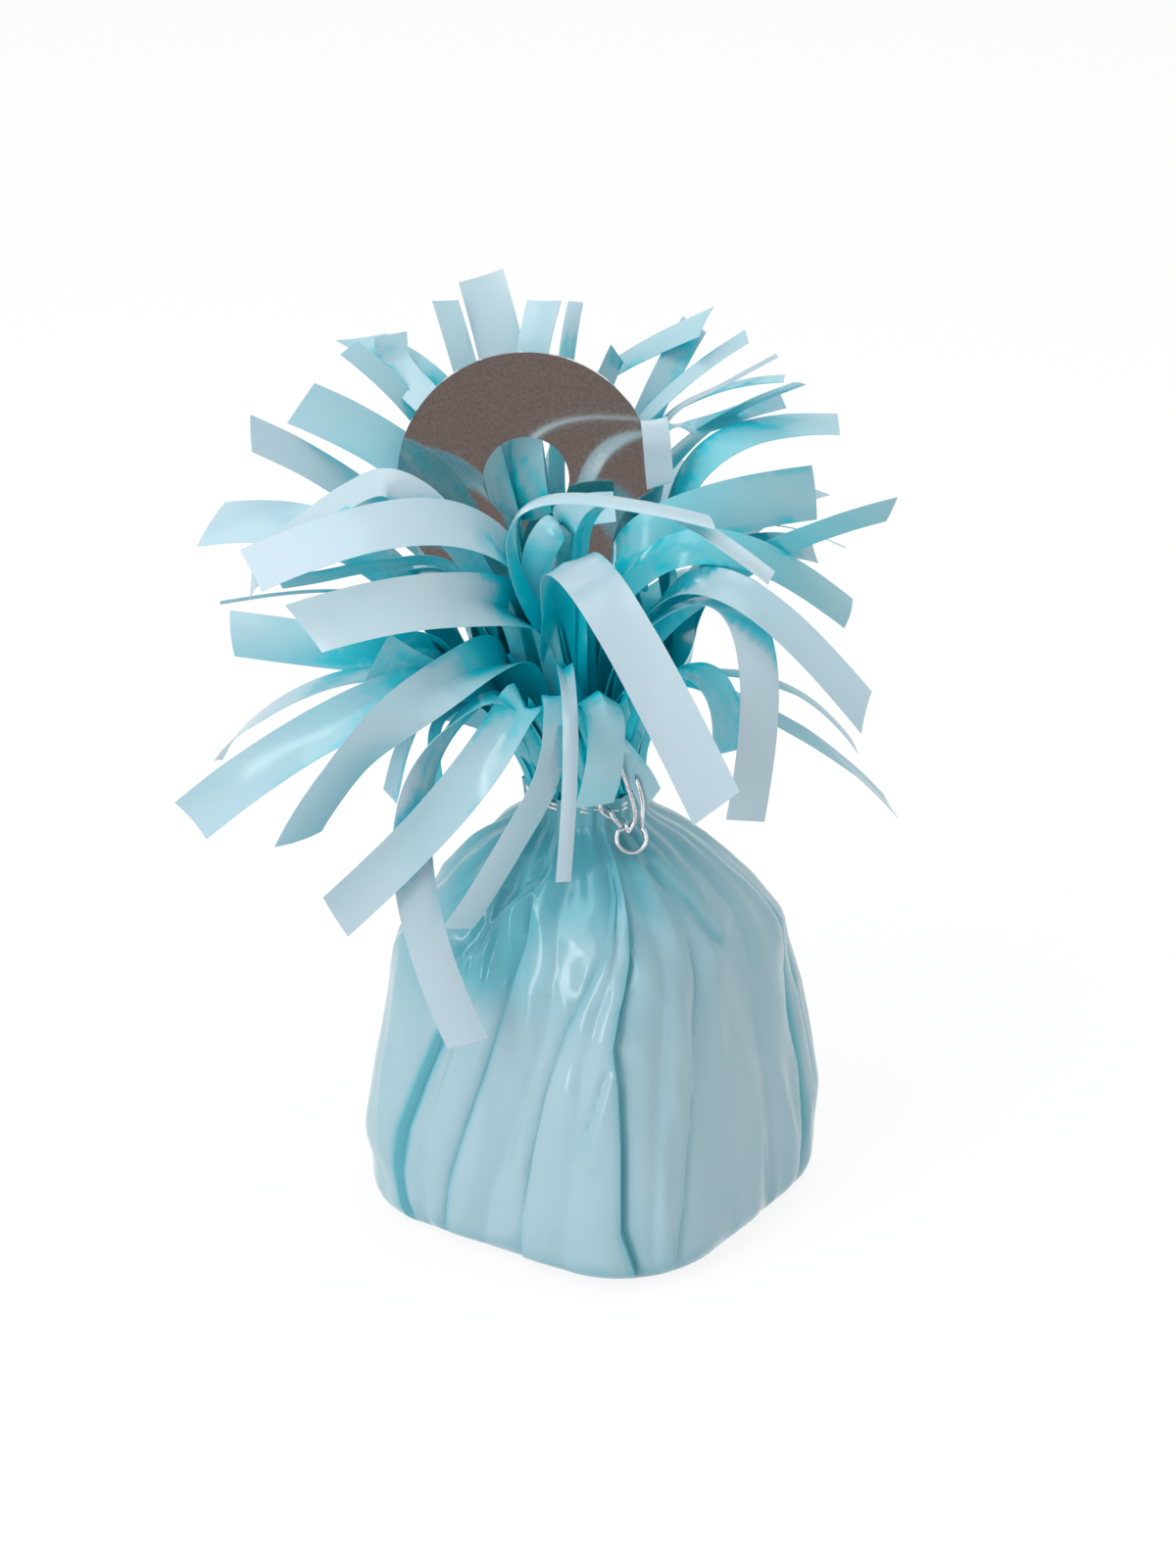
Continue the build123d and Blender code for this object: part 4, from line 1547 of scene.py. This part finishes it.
LOOSE_ENDS: tuple[LooseEnd, ...] = (
    LooseEnd(
        "arched_end", 2,
        (
            (-5.5, -4.5, 68.0), (-9.1, -6.0, 77.7), (-11.6, -7.5, 88.1), (-14.8, -8.0, 93.8),
            (-18.5, -8.5, 99.7), (-21.7, -9.0, 103.9), (-25.4, -9.5, 106.9), (-28.5, -10.2, 107.9),
            (-32.9, -11.5, 106.1), (-38.0, -13.0, 102.6), (-42.2, -14.0, 99.3), (-44.8, -14.5, 96.6),
        ),
        (
            (0.9, 0.3, 0.2), (0.85, 0.2, 0.45), (0.75, 0.2, 0.6), (0.3, 0.9, 0.3), (0.35, 0.7, 0.6),
            (0.55, 0.3, 0.75),
        ),
        (1.4, 5.4), 0.0, -0.75,
    ),
    LooseEnd(
        "hooked_end", 2,
        (
            (3.0, 4.0, 84.0), (8.0, 6.5, 100.0), (8.0, 4.5, 109.5), (7.8, 1.4, 112.9),
            (8.1, -0.7, 111.0), (8.4, -1.1, 107.5), (8.7, -1.3, 104.6),
        ),
        ((0.8, 0.6, 0.0), (1.0, 0.0, 0.15)), (2.0, 3.7), 0.0, -0.2,
    ),
    LooseEnd(
        "front_end", 2,
        (
            (-3.5, -5.0, 66.0), (-5.5, -6.5, 80.0), (-7.5, -5.5, 90.0), (-7.6, -4.6, 95.5),
            (-5.4, -3.8, 99.6), (-1.6, -3.4, 101.8), (2.6, -3.4, 102.4),
        ),
        ((1.0, 0.2, 0.0), (1.0, 0.0, 0.2), (0.8, 0.0, 0.6), (0.4, 0.6, 0.7)), (2.6, 4.4), 0.2, 0.0,
    ),
    LooseEnd(
        "upper_end", 1,
        (
            (-9.0, 5.0, 86.0), (-15.0, 6.0, 102.0), (-19.8, 7.0, 110.4), (-22.7, 10.0, 113.0),
            (-25.8, 13.0, 115.3), (-27.4, 15.0, 117.4), (-27.7, 16.0, 120.4),
        ),
        ((0.9, 0.0, 0.4), (1.0, 0.0, 0.15)), (2.0, 4.5), 0.1, 0.1,
    ),
    LooseEnd(
        "side_end", 1,
        (
            (3.0, 3.0, 86.0), (5.5, 4.6, 104.0), (8.5, 5.0, 110.6), (13.1, 7.0, 110.1),
            (17.3, 9.0, 110.6), (21.1, 11.0, 111.4), (25.5, 13.0, 112.0),
        ),
        ((0.7, 0.5, 0.3), (0.25, -0.6, -0.7)), (1.6, 2.4), 0.2, 0.0,
    ),
    LooseEnd(
        "right_sliver", 0,
        (
            (3.0, 4.0, 88.0), (6.0, 4.8, 104.0), (10.3, 5.0, 112.5), (17.5, 8.0, 115.9),
            (24.5, 12.0, 118.6),
        ),
        ((0.6, 0.6, 0.4), (0.3, -0.5, -0.7)), (0.8, 0.6), 0.0,
    ),
    LooseEnd(
        "left_sliver", 0,
        (
            (-14.0, -3.0, 86.0), (-25.0, -5.0, 90.5), (-34.4, -8.0, 92.2), (-41.5, -12.0, 93.2),
            (-49.0, -15.0, 93.1),
        ),
        ((0.2, -0.6, 0.6), (0.0, -0.5, 0.8)), (0.9, 0.7), 0.0,
    ),
    LooseEnd(
        "left_loop", 1,
        (
            (-10.0, -2.0, 86.0), (-19.7, -1.0, 92.0), (-26.0, 1.0, 91.6), (-31.0, 3.5, 93.0),
            (-29.8, 6.0, 96.8), (-26.4, 8.0, 99.7), (-20.0, 8.5, 101.0),
        ),
        ((0.0, -0.7, 0.7), (0.2, -0.9, 0.3)), (2.2, 3.0), 0.55,
    ),
    LooseEnd(
        "left_band", 1,
        (
            (-10.0, -4.0, 85.0), (-19.5, -6.0, 95.0), (-28.3, -9.0, 96.1), (-36.3, -12.0, 95.6),
            (-41.3, -14.0, 95.5),
        ),
        ((0.0, -0.6, 0.7), (0.1, -0.5, 0.85)), (1.8, 2.6), 0.15, 0.5,
    ),
    LooseEnd(
        "left_panel", 0,
        (
            (-7.0, -5.5, 66.0), (-10.5, -8.0, 71.5), (-15.5, -9.6, 76.0), (-20.5, -10.6, 78.8),
            (-25.5, -11.6, 81.6), (-29.0, -12.4, 84.2),
        ),
        ((0.3, -0.5, 0.8), (0.15, -0.35, 0.95), (0.1, -0.3, 1.0)), (3.5, 9.0), 0.1, 0.25,
    ),
    LooseEnd(
        "neck_flap", 0,
        ((1.5, -7.5, 73.0), (4.0, -9.6, 69.5), (6.4, -11.0, 66.0), (7.6, -11.4, 63.4)),
        ((0.8, -0.2, 0.5), (0.85, 0.0, 0.5)), (2.2, 3.6), 0.12, -0.6,
    ),
    LooseEnd(
        "left_flap", 0,
        ((-17.0, -9.0, 79.0), (-22.5, -11.5, 77.2), (-25.6, -14.0, 72.2), (-27.4, -15.0, 65.6)),
        ((0.5, -0.8, 0.1), (0.9, -0.4, 0.1)), (2.0, 2.4), 0.1, 0.5,
    ),
    LooseEnd(
        "left_tab", 0,
        ((-15.0, -10.0, 78.0), (-20.6, -12.0, 75.4), (-21.5, -13.2, 70.9), (-21.1, -14.0, 66.4)),
        ((0.6, -0.7, 0.1), (0.95, -0.3, 0.0)), (1.6, 2.0), 0.2, -0.4,
    ),
)


@dataclass
class Tie:
    """The twist tie: a wire wound round the neck and twisted, its free ends and the curl of clear ribbon.

    Attributes:
        neck: middle of the turns.
        ring: radius of the turns.
        turns: number of turns.
        start: bearing where they start, in degrees.
        gauge: radius of the wire.
        twist: middle line of the twisted pair.
        apart: distance of each strand from that line.
        rising: end of the wire that comes out of the curl.
        freed: end of the wire that goes up beside the neck.
        curl: middle of the curl's front rim.
        curl_radius: radius of the curl.
        ribbon_width: width of the clear ribbon.
        ribbon_wall: thickness of the clear ribbon.
        tilt: how far the curl's axis dips, in degrees.
    """

    neck: Triple = (-1.3, 0.0, 60.5)
    ring: float = 8.25
    turns: float = 1.94
    start: float = 279.0
    gauge: float = 0.3
    twist: tuple[Triple, ...] = (
        (0.1, -9.3, 62.4), (1.4, -10.0, 61.2), (3.6, -11.0, 59.9), (4.9, -11.5, 59.2),
    )
    apart: float = 0.42
    rising: tuple[Triple, ...] = (
        (6.35, -11.9, 61.5), (6.3, -11.8, 63.9), (5.4, -11.0, 67.1),
    )
    freed: tuple[Triple, ...] = (
        (5.4, -11.0, 61.0), (4.3, -10.8, 65.5), (2.7, -10.4, 70.0), (1.3, -9.5, 73.3),
    )
    curl: Triple = (4.9, -11.9, 58.1)
    curl_radius: float = 2.0
    ribbon_width: float = 3.0
    ribbon_wall: float = 0.14
    tilt: float = 23.0

    def winding(self) -> np.ndarray:
        """Points of the wire's turns round the neck, higher on the left than on the right."""
        share = np.linspace(0.0, 1.0, 120)
        angle = np.radians(self.start - 360.0 * self.turns * share)
        radius = self.ring + 0.22 * np.sin(5.0 * angle + 1.0) + 0.15 * np.sin(11.0 * angle)
        height = self.neck[2] - 0.9 * np.cos(angle - 0.35) + 1.3 * (share - 0.5) + 0.15 * np.sin(7.0 * angle)
        return np.stack([self.neck[0] + radius * np.cos(angle), radius * np.sin(angle), height], axis=1)

    def strand(self, phase: float) -> np.ndarray:
        """Points of one strand of the twisted pair."""
        line = smooth_line(self.twist, 30)
        angle = phase + np.linspace(0.0, 3.0 * math.pi, 30)
        heading = unit(np.gradient(line, axis=0))
        side = unit(np.cross(heading, [0.2, -0.9, 0.3]))
        other = np.cross(heading, side)
        return line + self.apart * (side * np.cos(angle)[:, None] + other * np.sin(angle)[:, None])

    def rim(self, begin: float, end: float, count: int) -> np.ndarray:
        """Points of the curl's front rim between two angles in degrees."""
        angle = np.radians(np.linspace(begin, end, count))
        rise = np.array([0.0, math.sin(math.radians(self.tilt)), math.cos(math.radians(self.tilt))])
        out = np.cos(angle)[:, None] * np.array([1.0, 0.0, 0.0]) + np.sin(angle)[:, None] * rise
        return np.array(self.curl) + self.curl_radius * out

    def build_wire(self, finish: Material) -> Piece:
        """Models the wire: its turns, the twisted pair, the curl's edge and both free ends.

        Args:
            finish: the wire's material.

        Returns:
            The finished piece.
        """
        first = self.strand(0.0)
        second = self.strand(math.pi)
        curled = np.concatenate([first[::2], self.rim(150.0, 405.0, 22), self.rising])
        freed = np.concatenate([second[::2], self.freed])
        pieces = [
            tube("twist_wire", self.winding(), self.gauge),
            tube("curled_wire", smooth_line(curled, 150), self.gauge),
            tube("freed_wire", smooth_line(freed, 110), self.gauge),
        ]
        make_active(pieces[0])
        for piece in pieces:
            piece.select_set(True)
        bpy.ops.object.join()
        pieces[0].data.materials.clear()
        pieces[0].data.materials.append(finish)
        return pieces[0]

    def build_ribbon(self, finish: Material) -> Piece:
        """Models the curl of clear ribbon behind the wire.

        Args:
            finish: the ribbon's material.

        Returns:
            The finished piece.
        """
        rows = 48
        piece = film_grid("clear_curl", 8, rows)
        across_share, along = grid_shares(piece)
        place = row_of(along, rows)
        back = np.array([0.0, math.cos(math.radians(self.tilt)), -math.sin(math.radians(self.tilt))])
        line = self.rim(70.0, 412.0, rows + 1)
        bulge = 1.0 + 0.06 * np.sin(across_share * math.pi)
        points = np.array(self.curl) + (line[place] - np.array(self.curl)) * bulge[:, None]
        set_points(piece, points + back * (across_share * self.ribbon_width)[:, None])
        thicken(piece, self.ribbon_wall, 40.0)
        piece.data.materials.append(finish)
        return piece


@dataclass
class Studio:
    """White studio: floor, soft light, a brown card for the mirror to face, and the camera."""

    target: Triple = (-0.95, 0.0, 61.0)
    distance: float = 510.0
    elevation: float = 23.0
    lens: float = 85.0
    sensor: float = 36.0
    floor_size: float = 4000.0
    floor_colour: Triple = (0.86, 0.86, 0.86)
    floor_glow: float = 1.05
    floor_seen: float = 0.84
    ambient: float = 0.56
    card_half: float = 160.0
    card_heights: Pair = (2.0, 104.0)
    card_before: float = 300.0
    card_colour: Triple = (0.20, 0.163, 0.152)

    def build(self) -> None:
        """Sets the stage."""
        bpy.context.scene.view_settings.view_transform = "Standard"
        self.world()
        self.floor()
        self.card()
        self.lamp("key_light", (-460.0, -340.0, 760.0), (620.0, 620.0), 2.6)
        self.lamp("top_light", (120.0, 160.0, 900.0), (620.0, 620.0), 1.6)
        self.lamp("strip_light", (-470.0, -560.0, 250.0), (110.0, 660.0), 1.3)
        self.camera()

    def world(self) -> None:
        """White surroundings that light the piece softly."""
        world = bpy.data.worlds.new("studio_white")
        bpy.context.scene.world = world
        world.use_nodes = True
        tree = world.node_tree
        light = {"Color": (1.0, 1.0, 1.0, 1.0), "Strength": self.seen_white(tree, self.ambient, 1.0)}
        fill(tree, tree.nodes["Background"], light)

    @staticmethod
    def seen_white(tree: NodeTree, plain: float, seen: float) -> NodeSocket:
        """A number that is one value to light and another to what the camera, metal and glass see.

        Args:
            tree: the tree of a material or of the world.
            plain: the value for light.
            seen: the value that is seen.

        Returns:
            The socket that gives the number.
        """
        path = add_node(tree, "LightPath", {}).outputs
        rays = (path["Is Camera Ray"], path["Is Glossy Ray"], path["Is Transmission Ray"])
        either = add_node(tree, "Math", {0: rays[0], 1: rays[1]}, operation="MAXIMUM").outputs["Value"]
        any_ray = add_node(tree, "Math", {0: either, 1: rays[2]}, operation="MAXIMUM").outputs["Value"]
        return ranged(tree, any_ray, (plain, seen))

    def floor(self) -> None:
        """Wide white floor that keeps a faint shadow."""
        bpy.ops.object.select_all(action="DESELECT")
        bpy.ops.mesh.primitive_plane_add(size=self.floor_size * MM)
        floor = bpy.context.active_object
        floor.name = "studio_floor"
        material = new_material(floor.name)
        tree = material.node_tree
        tree.nodes.remove(tree.nodes["Principled BSDF"])
        matt = add_node(tree, "BsdfDiffuse", {"Color": (*self.floor_colour, 1.0)}).outputs["BSDF"]
        glow = add_node(tree, "Emission", {"Strength": self.floor_glow}).outputs["Emission"]
        seen = self.seen_white(tree, 0.0, self.floor_seen)
        blend = add_node(tree, "MixShader", {"Fac": seen, 1: matt, 2: glow}).outputs["Shader"]
        fill(tree, tree.nodes["Material Output"], {"Surface": blend})
        floor.data.materials.append(material)

    def card(self) -> None:
        """Brown card before the piece that shows only in reflections."""
        bpy.ops.object.select_all(action="DESELECT")
        bpy.ops.mesh.primitive_plane_add(size=1.0)
        card = bpy.context.active_object
        card.name = "studio_card"
        places = [(across, up) for up in self.card_heights for across in (-self.card_half, self.card_half)]
        for vertex, (across, up) in zip(card.data.vertices, places):
            vertex.co = Vector((across, -self.card_before, up)) * MM
        material = new_material(card.name)
        tree = material.node_tree
        tree.nodes.remove(tree.nodes["Principled BSDF"])
        glow = add_node(tree, "Emission", {"Color": (*self.card_colour, 1.0)}).outputs["Emission"]
        fill(tree, tree.nodes["Material Output"], {"Surface": glow})
        card.data.materials.append(material)
        card.visible_camera = False
        card.visible_diffuse = False
        card.visible_shadow = False
        card.visible_transmission = False

    def lamp(self, name: str, place: Triple, size: Pair, power: float) -> None:
        """Adds one soft light aimed at the piece.

        Args:
            name: the light's name.
            place: where it stands, in millimetres.
            size: its width and height, in millimetres.
            power: in watts.
        """
        light = bpy.data.lights.new(name, "AREA")
        light.shape = "RECTANGLE"
        light.size = size[0] * MM
        light.size_y = size[1] * MM
        light.energy = power
        lamp = bpy.data.objects.new(name, light)
        bpy.context.collection.objects.link(lamp)
        lamp.location = Vector(place) * MM
        aim = Vector(self.target) * MM - lamp.location
        lamp.rotation_euler = aim.to_track_quat("-Z", "Y").to_euler()

    def camera(self) -> None:
        """Camera at the photograph's angle."""
        data = bpy.data.cameras.new("camera")
        data.lens = self.lens
        data.sensor_fit = "VERTICAL"
        data.sensor_height = self.sensor
        data.sensor_width = self.sensor
        camera = bpy.data.objects.new("camera", data)
        bpy.context.collection.objects.link(camera)
        tilt = math.radians(self.elevation)
        back = Vector((0.0, -math.cos(tilt), math.sin(tilt)))
        camera.location = (Vector(self.target) + back * self.distance) * MM
        camera.rotation_euler = (-back).to_track_quat("-Z", "Y").to_euler()
        bpy.context.scene.camera = camera


def dress_node(name: str, finish: Material) -> None:
    """Gives a carried-over node its finish.

    Args:
        name: the node's name.
        finish: its material.
    """
    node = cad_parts[name]
    node.data.materials.clear()
    node.data.materials.append(finish)


def settle(piece: Piece, slot: str, *nodes: str) -> None:
    """Fixes a piece to the body, hides the nodes that it replaces and logs its faces.

    Args:
        piece: the finished piece.
        slot: not used.
        nodes: the nodes that it replaces.
    """
    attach(piece, BODY)
    if nodes:
        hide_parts(*nodes)
    log.info("%s: %d faces", piece.name, len(piece.data.polygons))


def corners(box: tuple[Vector, Vector]) -> list[list[float]]:
    """A box's two corners as plain lists."""
    return [list(box[0]), list(box[1])]


def main() -> None:
    """Builds every piece in order and reports it."""
    logging.basicConfig(level=logging.INFO, format="%(asctime)s %(message)s")
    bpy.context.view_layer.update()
    film = FilmFinish().build()
    dress_node("weight_block", PlasterFinish().build())
    dress_node("ribbon_disc", MirrorFinish().build())
    tie = Tie()
    settle(tie.build_wire(WireFinish().build()), "wire", "tie_wire")
    settle(tie.build_ribbon(ClearFinish().build()), "clear_web", "tie_web")
    # a darker copy of the film finish for the wrap: painted shade for the body's film, which lies in less
    # light than the strips
    wrap_shaded_film = FilmFinish(
        name="wrap_film_shaded",
        pale=(0.45, 0.60, 0.665),
        middle=(0.22, 0.50, 0.57),
        teal=(0.03, 0.45, 0.53),
        deepest=(0.002, 0.36, 0.44),
        gloss=(0.10, 0.22),
        crumple=0.9,
    ).build()
    wrap = Wrap().build(wrap_shaded_film)
    settle(wrap, "film", "outer_film")
    collar, middle, inner = (funnel.build(film) for funnel in FUNNELS)
    settle(collar, "film")
    settle(middle, "film", "middle_film")
    settle(inner, "film", "inner_film")
    strips = Fringe().build(film)
    for number, strip in enumerate(strips, start=1):
        settle(strip, "film", f"fringe_strip_{number:02d}")
    loose = [end.build(film) for end in LOOSE_ENDS]
    for end in loose:
        settle(end, "film")
    # painted shade: the colour deepens where film closes other film in, less on the wrap
    shade_gains = {piece: FRINGE_SHADE_GAIN for piece in (collar, middle, inner, *strips, *loose)}
    paint_shade_where_closed_in({**shade_gains, wrap: WRAP_SHADE_GAIN}, reach=26.0, floor=46.0, band=(0.22, 0.74))
    Studio().build()


if __name__ == "__main__":
    main()
